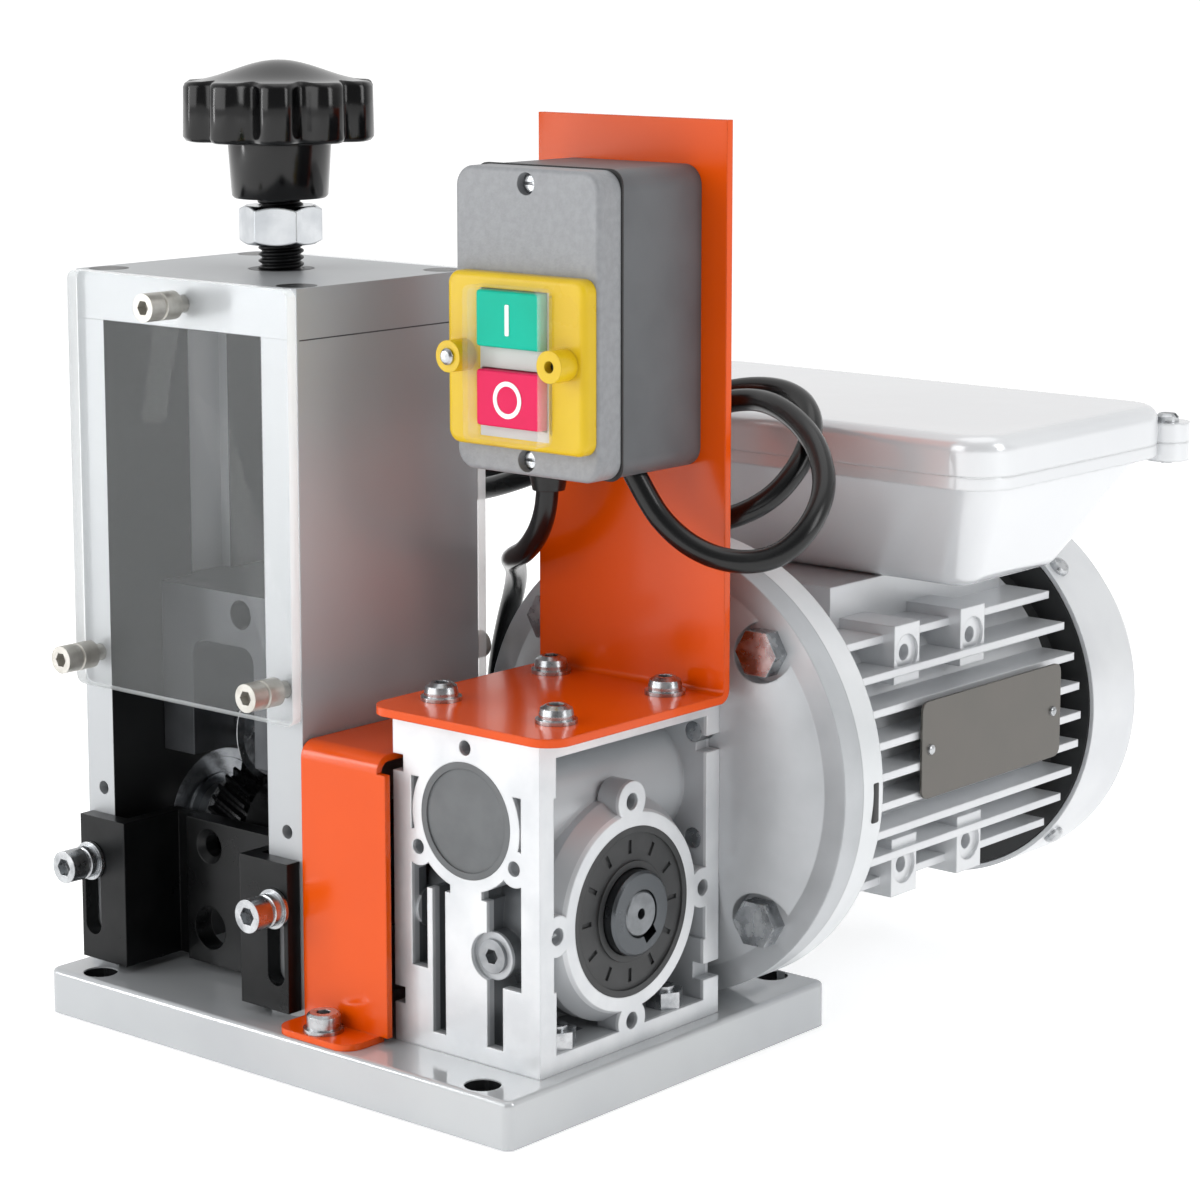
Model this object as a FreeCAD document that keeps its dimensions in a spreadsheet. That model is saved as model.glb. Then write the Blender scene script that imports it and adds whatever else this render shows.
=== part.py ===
import FreeCAD, Part
import math
import os

import Sketcher

# Bench wire stripping machine: a knurled feed wheel driven by a geared motor pulls
# a cable through a guide while a round blade, set by a hand screw, slits its sheath.
# Millimetres, +X right, +Y back, +Z up, origin at the middle of the base's underside.

doc = FreeCAD.newDocument("wire_stripping_machine")
sheet = doc.addObject("Spreadsheet::Sheet", "sizes")
Vector = FreeCAD.Vector
Rotation = FreeCAD.Rotation


class Size:
    """A size that knows its value and the sheet formula that gives it."""

    def __init__(self, value, formula):
        self.value = float(value)
        self.formula = formula

    def __add__(self, other):
        other = as_size(other)
        return Size(self.value + other.value, "(%s + %s)" % (self.formula, other.formula))

    def __sub__(self, other):
        other = as_size(other)
        return Size(self.value - other.value, "(%s - %s)" % (self.formula, other.formula))

    def __mul__(self, factor):
        factor = as_size(factor)
        return Size(self.value * factor.value, "(%s * %s)" % (self.formula, factor.formula))

    def __truediv__(self, divisor):
        divisor = as_size(divisor)
        return Size(self.value / divisor.value, "(%s / %s)" % (self.formula, divisor.formula))

    def __neg__(self):
        return self * -1

    def __radd__(self, other):
        return as_size(other) + self

    def __rsub__(self, other):
        return as_size(other) - self

    def __rmul__(self, other):
        return self * other


def as_size(value):
    """Any number as a size."""
    if isinstance(value, Size):
        return value
    return Size(value, "%.9g" % value)


def number(value):
    """The plain number behind a size."""
    return as_size(value).value


def dim(alias, value):
    """Write one driving dimension on the sheet."""
    dim.row += 1
    sheet.set("A%d" % dim.row, alias)
    sheet.set("B%d" % dim.row, str(value))
    sheet.setAlias("B%d" % dim.row, alias)
    return Size(value, "sizes." + alias)


dim.row = 0


def bind(item, name, value):
    """Tie one property of an object to a size."""
    item.setExpression(name, as_size(value).formula)


def set_place(item, x, y, z, facing="up"):
    """Put an object at a place, turned so that its own +Z faces a side."""
    spin = {
        "up": Rotation(),
        "down": Rotation(Vector(1, 0, 0), 180),
        "front": Rotation(Vector(1, 0, 0), 90),
        "back": Rotation(Vector(1, 0, 0), -90),
        "left": Rotation(Vector(0, 1, 0), -90),
        "right": Rotation(Vector(0, 1, 0), 90),
    }[facing]
    item.Placement = FreeCAD.Placement(Vector(number(x), number(y), number(z)), spin)
    bind(item, ".Placement.Base.x", x)
    bind(item, ".Placement.Base.y", y)
    bind(item, ".Placement.Base.z", z)


# Outlines for sketches. An outline is a list of corners (x, y), where the end of an
# arc is (x, y, centre x, centre y, "left" or "right"), or one circle.


def circle(radius, x=0, y=0):
    return ("circle", radius, x, y)


def rectangle(left, low, right, high):
    return [(left, low), (right, low), (right, high), (left, high)]


def rounded(left, low, right, high, radius):
    """A rectangle with four round corners."""
    return [
        (left + radius, low),
        (right - radius, low),
        (right, low + radius, right - radius, low + radius, "left"),
        (right, high - radius),
        (right - radius, high, right - radius, high - radius, "left"),
        (left + radius, high),
        (left, high - radius, left + radius, high - radius, "left"),
        (left, low + radius),
        (left + radius, low, left + radius, low + radius, "left"),
    ][1:]


def upright_slot(width, low, high, x):
    """A slot with half round ends that runs along the sketch's second axis."""
    half = width / 2
    return [
        (x + half, low + half, x, low + half, "left"),
        (x + half, high - half),
        (x - half, high - half, x, high - half, "left"),
        (x - half, low + half),
    ]


def hexagon(across_flats, x=0, y=0):
    corner = across_flats / math.sqrt(3)
    turns = [math.radians(60 * step) for step in range(6)]
    return [(x + corner * math.cos(turn), y + corner * math.sin(turn)) for turn in turns]


def draw(sketch, outline):
    """Add an outline to a sketch, with each corner, centre and radius held by the sheet."""
    holds = []
    first = sketch.GeometryCount

    def hold(kind, geometry, point, value):
        base = (-1, 1) if kind != "Radius" else ()
        spot = (geometry, point) if kind != "Radius" else (geometry,)
        constraint = Sketcher.Constraint(kind, *base, *spot, number(value))
        holds.append((constraint, as_size(value).formula))

    if outline[0] == "circle":
        radius, x, y = outline[1:]
        centre = Vector(number(x), number(y), 0)
        sketch.addGeometry(Part.Circle(centre, Vector(0, 0, 1), number(radius)), False)
        hold("DistanceX", first, 3, x)
        hold("DistanceY", first, 3, y)
        hold("Radius", first, 0, radius)
    else:
        ends = []
        for step, corner in enumerate(outline):
            before = outline[step - 1]
            start = Vector(number(before[0]), number(before[1]), 0)
            end = Vector(number(corner[0]), number(corner[1]), 0)
            if len(corner) == 2:
                sketch.addGeometry(Part.LineSegment(start, end), False)
                ends.append((1, 2))
                continue
            centre = Vector(number(corner[2]), number(corner[3]), 0)
            left = corner[4] == "left"
            low, high = (start, end) if left else (end, start)
            low_turn = math.atan2(low.y - centre.y, low.x - centre.x)
            high_turn = math.atan2(high.y - centre.y, high.x - centre.x)
            while high_turn <= low_turn:
                high_turn += 2 * math.pi
            ring = Part.Circle(centre, Vector(0, 0, 1), (start - centre).Length)
            sketch.addGeometry(Part.ArcOfCircle(ring, low_turn, high_turn), False)
            ends.append((1, 2) if left else (2, 1))
            chord = end - start
            if abs(chord.y) > abs(chord.x):
                hold("DistanceX", first + step, 3, corner[2])
            else:
                hold("DistanceY", first + step, 3, corner[3])
        for step, corner in enumerate(outline):
            after = (step + 1) % len(outline)
            joined = Sketcher.Constraint(
                "Coincident", first + step, ends[step][1], first + after, ends[after][0]
            )
            holds.append((joined, None))
            hold("DistanceX", first + step, ends[step][1], corner[0])
            hold("DistanceY", first + step, ends[step][1], corner[1])
    numbers = sketch.addConstraint([constraint for constraint, formula in holds])
    for index, (constraint, formula) in zip(numbers, holds):
        if formula is not None:
            sketch.setExpression("Constraints[%d]" % index, formula)


def runs_along(edge, axis):
    """Whether an edge is straight and runs along one axis."""
    if len(edge.Vertexes) != 2 or edge.Curve.TypeId != "Part::GeomLine":
        return False
    way = edge.Vertexes[1].Point - edge.Vertexes[0].Point
    return abs(abs(way.dot(axis)) - way.Length) < 0.001


def lies_at(edge, axis, place):
    """Whether an edge lies wholly in one plane square to an axis."""
    box = edge.BoundBox
    low = Vector(box.XMin, box.YMin, box.ZMin).dot(axis)
    high = Vector(box.XMax, box.YMax, box.ZMax).dot(axis)
    return abs(low - number(place)) < 0.01 and abs(high - number(place)) < 0.01


ALONG_X = Vector(1, 0, 0)
ALONG_Y = Vector(0, 1, 0)
ALONG_Z = Vector(0, 0, 1)


class Piece:
    """A body drawn about its own origin and set at its place in the machine."""

    def __init__(self, name, x=0, y=0, z=0):
        self.body = doc.addObject("PartDesign::Body", name)
        self.body.Label = name
        set_place(self.body, x, y, z)

    def origin(self, role):
        return [part for part in self.body.Origin.OriginFeatures if part.Role == role][0]

    def sketch(self, plane, offset, outlines):
        drawing = self.body.newObject("Sketcher::SketchObject", self.body.Name + "_outline")
        drawing.AttachmentSupport = [(self.origin(plane + "_Plane"), "")]
        drawing.MapMode = "FlatFace"
        side = -1 if plane == "XZ" else 1
        bind(drawing, ".AttachmentOffset.Base.z", as_size(offset) * side)
        for outline in outlines:
            draw(drawing, outline)
        return drawing

    def feature(self, kind, drawing, **settings):
        made = self.body.newObject("PartDesign::" + kind, self.body.Name + "_" + kind.lower())
        made.Profile = drawing
        for name, value in settings.items():
            setattr(made, name, value)
        drawing.Visibility = False
        return made

    def pad(self, plane, start, end, *outlines):
        """Material between two heights over a plane."""
        drawing = self.sketch(plane, start, outlines)
        made = self.feature("Pad", drawing, Reversed=plane == "XZ")
        bind(made, "Length", as_size(end) - start)
        return made

    def cut(self, plane, start, end, *outlines):
        """A hole between two heights over a plane."""
        drawing = self.sketch(plane, start, outlines)
        made = self.feature("Pocket", drawing, Reversed=plane != "XZ")
        bind(made, "Length", as_size(end) - start)
        return made

    def turned(self, axis, corners, kind="Revolution"):
        """A round form from (along the axis, radius) corners, added or, as a Groove, cut."""
        if axis == "Z":
            swap = {"left": "right", "right": "left"}
            flipped = []
            for corner in corners:
                if len(corner) == 2:
                    flipped.append((corner[1], corner[0]))
                else:
                    along, radius, mid, mid_radius, way = corner
                    flipped.append((radius, along, mid_radius, mid, swap[way]))
            corners = flipped
        drawing = self.sketch("YZ" if axis == "Y" else "XZ", 0, [corners])
        line = "V_Axis" if axis == "Z" else "H_Axis"
        return self.feature(kind, drawing, ReferenceAxis=(drawing, [line]), Angle=360)

    def around(self, made, role, count):
        """Copies of one feature evenly round an axis of the body."""
        ring = self.body.newObject("PartDesign::PolarPattern", self.body.Name + "_ring")
        ring.Originals = [made]
        ring.Axis = (self.origin(role + "_Axis"), [""])
        ring.Angle = 360
        ring.Occurrences = count
        self.body.Tip = ring
        return ring

    def dress(self, kind, size_name, amount, chosen):
        """A fillet or chamfer on the edges that a test picks."""
        doc.recompute([self.body])
        base = self.body.Tip
        names = [
            "Edge%d" % (place + 1)
            for place, edge in enumerate(base.Shape.Edges)
            if chosen(edge)
        ]
        made = self.body.newObject("PartDesign::" + kind, self.body.Name + "_" + kind.lower())
        made.Base = (base, names)
        bind(made, size_name, amount)
        self.body.Tip = made
        return made

    def fillet(self, radius, chosen):
        return self.dress("Fillet", "Radius", radius, chosen)

    def chamfer(self, amount, chosen):
        return self.dress("Chamfer", "Size", amount, chosen)


def group(name, *places):
    """One node of several separate solids: each place is (pattern piece, x, y, z, facing)."""
    copies = []
    for pattern, x, y, z, facing in places:
        copy = doc.addObject("App::Link", name + "_copy")
        copy.LinkedObject = pattern.body
        set_place(copy, x, y, z, facing)
        copies.append(copy)
    whole = doc.addObject("Part::Compound", name)
    whole.Label = name
    whole.Links = copies
    nodes.append(whole)
    return whole


nodes = []


def piece(name, x=0, y=0, z=0):
    """A piece that is a node of the machine."""
    made = Piece(name, x, y, z)
    nodes.append(made.body)
    return made


# Driving dimensions, by assembly.

# Clearances.
running_gap = dim("running_gap", 0.1)
slide_gap = dim("slide_gap", 0.3)
thread_gap = dim("thread_gap", 0.1)
fit_gap = dim("fit_gap", 0.05)

# Base plate.
base_length = dim("base_length", 192)
base_depth = dim("base_depth", 146)
deck = dim("base_thickness", 14)
base_corner = dim("base_corner", 3)
base_bevel = dim("base_bevel", 1.6)
foot_hole_radius = dim("foot_hole_radius", 5.25)
foot_hole_inset_x = dim("foot_hole_inset_x", 16)
foot_hole_inset_y = dim("foot_hole_inset_y", 7)

# Tower.
tower_margin = dim("tower_margin", 2.7)
tower_setback = dim("tower_setback", 15.6)
tower_width = dim("tower_width", 95)
tower_depth = dim("tower_depth", 76)
left_wall = dim("left_wall", 12)
right_wall = dim("right_wall", 15)
wall_height = dim("wall_height", 202)
cap_thickness = dim("cap_thickness", 15)
wall_screw_inset = dim("wall_screw_inset", 7)
cover_thickness = dim("cover_thickness", 4)
cover_low = dim("cover_low", 89)
cover_corner = dim("cover_corner", 5)
cover_screw_low = dim("cover_screw_low", 10)
spare_hole_height = dim("spare_hole_height", 56)
spare_hole_radius = dim("spare_hole_radius", 2.1)

# Drive line and gearbox.
shaft_setback = dim("shaft_setback", 44.4)
output_height = dim("output_height", 40)
centre_distance = dim("centre_distance", 30)
gearbox_gap = dim("gearbox_gap", 32.3)
gear_width = dim("gear_width", 56)
gear_length = dim("gear_length", 80)
gear_height = dim("gear_height", 97)
gear_plate = dim("gear_plate", 5.5)
gear_bolt_x = dim("gear_bolt_x", 44)
gear_bolt_y = dim("gear_bolt_y", 48)
gear_bolt_shift = dim("gear_bolt_shift", -2)
m6_radius = dim("m6_radius", 3)
m8_radius = dim("m8_radius", 4)
hollow_shaft_length = dim("hollow_shaft_length", 63)
hollow_shaft_radius = dim("hollow_shaft_radius", 12.5)
output_shaft_radius = dim("output_shaft_radius", 7)
ear_circle_radius = dim("ear_circle_radius", 32.5)
output_ring_radius = dim("output_ring_radius", 29)
drum_radius = dim("drum_radius", 33)
seal_radius = dim("seal_radius", 25)
seal_thickness = dim("seal_thickness", 7)
output_bearing_radius = dim("output_bearing_radius", 23.5)
output_bearing_width = dim("output_bearing_width", 12)
worm_bearing_radius = dim("worm_bearing_radius", 16)
worm_bearing_width = dim("worm_bearing_width", 10)
worm_cap_radius = dim("worm_cap_radius", 17)
worm_cap_thickness = dim("worm_cap_thickness", 3.5)
worm_radius = dim("worm_radius", 9.2)
worm_barrel_radius = dim("worm_barrel_radius", 19.5)

# Motor and its flanges.
flange_radius = dim("flange_radius", 69.6)
adapter_thickness = dim("adapter_thickness", 15)
adapter_rim = dim("adapter_rim", 9)
motor_flange_thickness = dim("motor_flange_thickness", 9.5)
flange_bolt_circle = dim("flange_bolt_circle", 57.5)
motor_length = dim("motor_length", 120.5)
motor_core_radius = dim("motor_core_radius", 50)
motor_fin_radius = dim("motor_fin_radius", 61)
motor_bore_radius = dim("motor_bore_radius", 44)
motor_fin_pitch = dim("motor_fin_pitch", 9.4)
motor_fin_thickness = dim("motor_fin_thickness", 2.4)
shield_thickness = dim("shield_thickness", 7)
fan_cover_radius = dim("fan_cover_radius", 62.8)
fan_cover_length = dim("fan_cover_length", 47)
fan_cover_wall = dim("fan_cover_wall", 1.5)
fan_cover_dome = dim("fan_cover_dome", 22)
motor_shaft_radius = dim("motor_shaft_radius", 5.5)
rotor_radius = dim("rotor_radius", 25.4)
stator_length = dim("stator_length", 80)
motor_bearing_radius = dim("motor_bearing_radius", 16)
motor_bearing_width = dim("motor_bearing_width", 10)
fan_radius = dim("fan_radius", 50)

# Terminal box on the motor.
box_seat_height = dim("box_seat_height", 52)
box_length = dim("box_length", 180)
box_depth = dim("box_depth", 103)
box_start = dim("box_start", 22)
tub_height = dim("tub_height", 39)
lid_height = dim("lid_height", 12)
box_corner = dim("box_corner", 14)
box_wall = dim("box_wall", 2.5)
rim_width = dim("rim_width", 3)
rim_height = dim("rim_height", 4)

# Guide.
guide_low = dim("guide_low", 2.5)
guide_height = dim("guide_height", 45.5)
guide_half_width = dim("guide_half_width", 45.6)
guide_inner_half = dim("guide_inner_half", 29.6)
guide_wing = dim("guide_wing", 5.4)
guide_reach = dim("guide_reach", 20.4)
guide_back = dim("guide_back", 3.2)
guide_block = dim("guide_block", 3.5)
guide_wall = dim("guide_wall", 4)
guide_slot_width = dim("guide_slot_width", 7)
guide_screw_height = dim("guide_screw_height", 34)
guide_travel = dim("guide_travel", 20)
wire_offset = dim("wire_offset", 8.2)
wire_hole_radius = dim("wire_hole_radius", 3.5)
wire_hole_mouth = dim("wire_hole_mouth", 5.5)
wire_hole_height = dim("wire_hole_height", 37.5)
large_hole_radius = dim("large_hole_radius", 6.75)
large_hole_height = dim("large_hole_height", 11.5)

# Blade, carriage and feed wheel.
feed_radius = dim("feed_radius", 19.3)
feed_groove_radius = dim("feed_groove_radius", 14.5)
feed_groove_width = dim("feed_groove_width", 3.6)
feed_width = dim("feed_width", 20)
tooth_depth = dim("tooth_depth", 1.6)
shaft_radius = dim("shaft_radius", 10)
drive_bearing_radius = dim("drive_bearing_radius", 21)
drive_bearing_width = dim("drive_bearing_width", 12)
blade_radius = dim("blade_radius", 18.3)
blade_thickness = dim("blade_thickness", 2)
blade_hub_radius = dim("blade_hub_radius", 9)
axle_radius = dim("axle_radius", 4)
arch_half_width = dim("arch_half_width", 13.5)
arch_height = dim("arch_height", 29.4)
carriage_low = dim("carriage_low", 7.6)
carriage_top = dim("carriage_top", 45.9)
carriage_front = dim("carriage_front", 23.5)
carriage_back = dim("carriage_back", 20)
tongue_width = dim("tongue_width", 16)
tongue_depth = dim("tongue_depth", 3.7)
groove_start = dim("groove_start", 64)

# Adjusting screw.
screw_forward = dim("screw_forward", 4)
thread_radius = dim("thread_radius", 9.75)
button_radius = dim("button_radius", 8)
button_height = dim("button_height", 6)
neck_radius = dim("neck_radius", 5)
neck_height = dim("neck_height", 4)
nut_clearance = dim("nut_clearance", 7.6)
nut_height = dim("nut_height", 11.7)
nut_flats = dim("nut_flats", 30)
thread_show = dim("thread_show", 2.3)
knob_hub_radius = dim("knob_hub_radius", 22)
knob_hub_height = dim("knob_hub_height", 17.4)
knob_radius = dim("knob_radius", 41.5)
knob_grip = dim("knob_grip", 18)
knob_dome = dim("knob_dome", 6)
knob_scallop = dim("knob_scallop", 9.5)

# Sheet metal.
bracket_sheet = dim("bracket_sheet", 2.5)
bracket_width = dim("bracket_width", 71)
bracket_front = dim("bracket_front", 5)
bracket_face = dim("bracket_face", 31)
bracket_height = dim("bracket_height", 168.4)
bracket_bend = dim("bracket_bend", 4)
guard_sheet = dim("guard_sheet", 2)
guard_height = dim("guard_height", 85)
guard_bend = dim("guard_bend", 5)
guard_flange = dim("guard_flange", 13)
guard_rear = dim("guard_rear", 25)
guard_rear_flange = dim("guard_rear_flange", 13)
guard_stand = dim("guard_stand", 1.6)
guard_lap = dim("guard_lap", 2.5)

# Switch.
switch_width = dim("switch_width", 54)
switch_height = dim("switch_height", 87)
switch_depth = dim("switch_depth", 35)
switch_lift = dim("switch_lift", 68.5)
switch_cover_depth = dim("switch_cover_depth", 10)
switch_corner = dim("switch_corner", 6)
switch_wall = dim("switch_wall", 3)
frame_width = dim("frame_width", 52)
frame_height = dim("frame_height", 49.5)
frame_depth = dim("frame_depth", 5)
frame_low = dim("frame_low", 8)
button_width = dim("button_width", 24)
button_rise = dim("button_rise", 16)
button_gap = dim("button_gap", 6.5)
button_proud = dim("button_proud", 8)
button_travel = dim("button_travel", 3)
film_depth = dim("film_depth", 6.2)
film_wall = dim("film_wall", 1)

# Places that follow from the sizes.
front_edge = -base_depth / 2
left_edge = -base_length / 2
tower_left = left_edge + tower_margin
tower_right = tower_left + tower_width
tower_front = front_edge + tower_setback
tower_rear = tower_front + tower_depth
tower_middle = tower_left + tower_width / 2
inner_left = tower_left + left_wall
inner_right = tower_right - right_wall
cap_low = deck + wall_height
tower_top = cap_low + cap_thickness
shaft_y = tower_front + shaft_setback
shaft_z = deck + output_height
worm_z = shaft_z + centre_distance
gear_left = tower_right + gearbox_gap
gear_x = gear_left + gear_width / 2
gear_front = shaft_y - gear_length / 2
gear_rear = shaft_y + gear_length / 2
gear_top = deck + gear_height
motor_front = gear_rear + adapter_thickness
frame_front = motor_front + motor_flange_thickness
frame_rear = frame_front + motor_length
wire_x = tower_middle - wire_offset
blade_z = shaft_z + feed_groove_radius + slide_gap + blade_radius

# Base plate: a ground steel slab with bevelled top edges, foot holes, countersunk holes
# for the tower's screws, counterbored holes for the gearbox and tapped guard holes.
base = piece("base_plate")
base.pad("XY", 0, deck, rounded(left_edge, front_edge, -left_edge, -front_edge, base_corner))
base.fillet(base_bevel, lambda edge: lies_at(edge, ALONG_Z, deck))
foot_x = base_length / 2 - foot_hole_inset_x
foot_y = base_depth / 2 - foot_hole_inset_y
corners = [(side, end) for side in (-1, 1) for end in (-1, 1)]
base.cut("XY", 0, deck, *[circle(foot_hole_radius, foot_x * a, foot_y * b) for a, b in corners])

flat_screw_head = dim("flat_screw_head", 6)
flat_screw_head_height = dim("flat_screw_head_height", 3.3)
flat_screw_length = dim("flat_screw_length", 25)
screw_hole = m6_radius + thread_gap
wall_screws = [
    (x, y)
    for x in (tower_left + wall_screw_inset, tower_right - wall_screw_inset)
    for y in (tower_front + wall_screw_inset, tower_rear - wall_screw_inset)
]
base.cut("XY", 0, deck, *[circle(screw_hole, x, y) for x, y in wall_screws])
base.cut(
    "XY", 0, flat_screw_head_height, *[circle(flat_screw_head + thread_gap, x, y) for x, y in wall_screws]
)
gear_bolts = [
    (gear_x + gear_bolt_x / 2 * a, shaft_y + gear_bolt_shift + gear_bolt_y / 2 * b)
    for a, b in corners
]
bolt_head_radius = dim("bolt_head_radius", 5)
bolt_head_height = dim("bolt_head_height", 6)
counterbore = bolt_head_radius + slide_gap
base.cut("XY", 0, deck, *[circle(screw_hole, x, y) for x, y in gear_bolts])
base.cut(
    "XY", 0, bolt_head_height + slide_gap, *[circle(counterbore, x, y) for x, y in gear_bolts]
)
guard_screw_x = dim("guard_screw_x", 15.3) + tower_right
guard_screw_front = tower_front - guard_stand - guard_flange / 2
guard_screw_back = shaft_y + guard_rear + guard_rear_flange / 2
guard_screws = [(guard_screw_x, guard_screw_front), (guard_screw_x, guard_screw_back)]
guard_screw_depth = dim("guard_screw_depth", 10)
base.cut(
    "XY", deck - guard_screw_depth, deck, *[circle(screw_hole, x, y) for x, y in guard_screws]
)

# Tower: two thick side plates, a top plate, four corner screws above and four below.
groove_middle = shaft_setback - dim("tongue_shift", 2)
tap_depth = dim("tap_depth", 13)


def side_plate(name, x, wall, inner_face):
    """A side plate with its bearing bore, the carriage groove and tapped holes."""
    plate = piece(name, x, tower_front, deck)
    plate.pad("XY", 0, wall_height, rectangle(0, 0, wall, tower_depth))
    plate.cut("YZ", 0, wall, circle(drive_bearing_radius, shaft_setback, output_height))
    half = tongue_width / 2 + slide_gap
    deep = tongue_depth + slide_gap
    near, far = (wall - deep, wall) if inner_face == "right" else (as_size(0), deep)
    plate.cut(
        "XY", groove_start, wall_height, rectangle(near, groove_middle - half, far, groove_middle + half)
    )
    screw_x = wall_screw_inset if inner_face == "right" else wall - wall_screw_inset
    for low, high in ((as_size(0), tap_depth), (wall_height - tap_depth, wall_height)):
        plate.cut(
            "XY", low, high,
            circle(screw_hole, screw_x, wall_screw_inset),
            circle(screw_hole, screw_x, tower_depth - wall_screw_inset),
        )
    hole_heights = [
        (cover_hole, cover_low + cover_screw_low),
        (spare_hole_radius, spare_hole_height),
        (screw_hole, guide_screw_height),
    ]
    front = [circle(radius, screw_x, height) for radius, height in hole_heights]
    plate.cut("XZ", 0, cover_tap_depth, *front)
    plate.cut("XZ", tower_depth - cover_tap_depth, tower_depth, front[0])
    return plate


m5_radius = dim("m5_radius", 2.5)
cover_hole = m5_radius + thread_gap
cover_tap_depth = dim("cover_tap_depth", 15)
side_plate("side_plate_left", tower_left, left_wall, "right")
side_plate("side_plate_right", inner_right, right_wall, "left")

cap = piece("top_plate", tower_left, tower_front, cap_low)
cap.pad("XY", 0, cap_thickness, rectangle(0, 0, tower_width, tower_depth))
screw_y = shaft_setback - screw_forward
cap.cut(
    "XY", 0, cap_thickness, circle(thread_radius + slide_gap, tower_width / 2, screw_y)
)
cap_screws = [
    (x, y)
    for x in (wall_screw_inset, tower_width - wall_screw_inset)
    for y in (wall_screw_inset, tower_depth - wall_screw_inset)
]
cap.cut("XY", 0, cap_thickness, *[circle(screw_hole, x, y) for x, y in cap_screws])
cap.cut(
    "XY", cap_thickness - flat_screw_head_height, cap_thickness,
    *[circle(flat_screw_head + thread_gap, x, y) for x, y in cap_screws]
)
cap.cut("XZ", 0, cover_tap_depth, circle(cover_hole, tower_width / 2, cap_thickness / 2))
cap.cut(
    "XZ", tower_depth - cover_tap_depth, tower_depth,
    circle(cover_hole, tower_width / 2, cap_thickness / 2)
)

flat_screw = Piece("flat_screw_pattern")
flat_screw.turned("Z", [
    (0, 0), (0, flat_screw_head), (-flat_screw_head_height, m6_radius),
    (-flat_screw_length, m6_radius), (-flat_screw_length, 0),
])
group(
    "tower_screws",
    *[(flat_screw, tower_left + x, tower_front + y, tower_top, "up") for x, y in cap_screws],
    *[(flat_screw, x, y, 0, "down") for x, y in wall_screws]
)

# Clear acrylic covers lie on the front and back of the tower, each held by three long screws.
cover_height = wall_height + cap_thickness - cover_low
cover_screws = [
    (tower_width / 2, cover_height - cap_thickness / 2),
    (wall_screw_inset, cover_screw_low),
    (tower_width - wall_screw_inset, cover_screw_low),
]
for name, y in (("front_cover", tower_front - cover_thickness), ("rear_cover", tower_rear)):
    cover = piece(name, tower_left, y, deck + cover_low)
    cover.pad("XZ", 0, cover_thickness, [
        (tower_width, cover_corner, tower_width - cover_corner, cover_corner, "left"),
        (tower_width, cover_height),
        (0, cover_height),
        (0, cover_corner),
        (cover_corner, 0, cover_corner, cover_corner, "left"),
        (tower_width - cover_corner, 0),
    ])
    cover.cut(
        "XZ", 0, cover_thickness, *[circle(cover_hole, x, z) for x, z in cover_screws]
    )

cap_head = dim("cap_head_radius", 4.25)
cap_head_height = dim("cap_head_height", 12)
spacer_height = dim("spacer_height", 5.6)
socket_flats = dim("socket_flats", 4)
socket_depth = dim("socket_depth", 3)
cover_screw = Piece("cover_screw_pattern")
cover_screw.turned("Z", [
    (cap_head_height, 0), (cap_head_height, cap_head), (spacer_height + 1, cap_head),
    (spacer_height + 0.6, cap_head - 0.8), (spacer_height, cap_head), (0, cap_head),
    (0, m5_radius), (-cover_thickness - cover_tap_depth + 1, m5_radius),
    (-cover_thickness - cover_tap_depth + 1, 0),
])
cover_screw.cut("XY", cap_head_height - socket_depth, cap_head_height, hexagon(socket_flats))
low_head_height = dim("low_head_height", 5)
rear_screw = Piece("rear_cover_screw_pattern")
rear_screw.turned("Z", [
    (low_head_height, 0), (low_head_height, cap_head), (0, cap_head), (0, m5_radius),
    (-cover_thickness - cover_tap_depth + 1, m5_radius),
    (-cover_thickness - cover_tap_depth + 1, 0),
])
rear_screw.cut("XY", low_head_height - socket_depth, low_head_height, hexagon(socket_flats))
group("cover_screws", *[
    (pattern, tower_left + x, y, deck + cover_low + z, facing)
    for pattern, y, facing in (
        (cover_screw, tower_front - cover_thickness, "front"),
        (rear_screw, tower_rear + cover_thickness, "back"),
    )
    for x, z in cover_screws
])

# Drive bearings sit in the side plates.
bearing_recess = dim("bearing_recess", 0.6)
bearing_ring = dim("bearing_ring", 3)


def bearing(pattern, inner, outer, width):
    """A shielded ball bearing as one ring with sunk shields."""
    made = Piece(pattern)
    half = width / 2
    ring = bearing_ring
    sunk = half - bearing_recess
    made.turned("Z", [
        (-half, inner), (half, inner), (half, inner + ring), (sunk, inner + ring),
        (sunk, outer - ring), (half, outer - ring), (half, outer), (-half, outer),
        (-half, outer - ring), (-sunk, outer - ring), (-sunk, inner + ring), (-half, inner + ring),
    ])
    return made


drive_bearing = bearing(
    "drive_bearing_pattern", shaft_radius + running_gap, drive_bearing_radius - fit_gap, drive_bearing_width
)
group(
    "drive_bearings",
    (drive_bearing, tower_left + left_wall / 2, shaft_y, shaft_z, "right"),
    (drive_bearing, tower_right - right_wall / 2, shaft_y, shaft_z, "right"),
)

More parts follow.
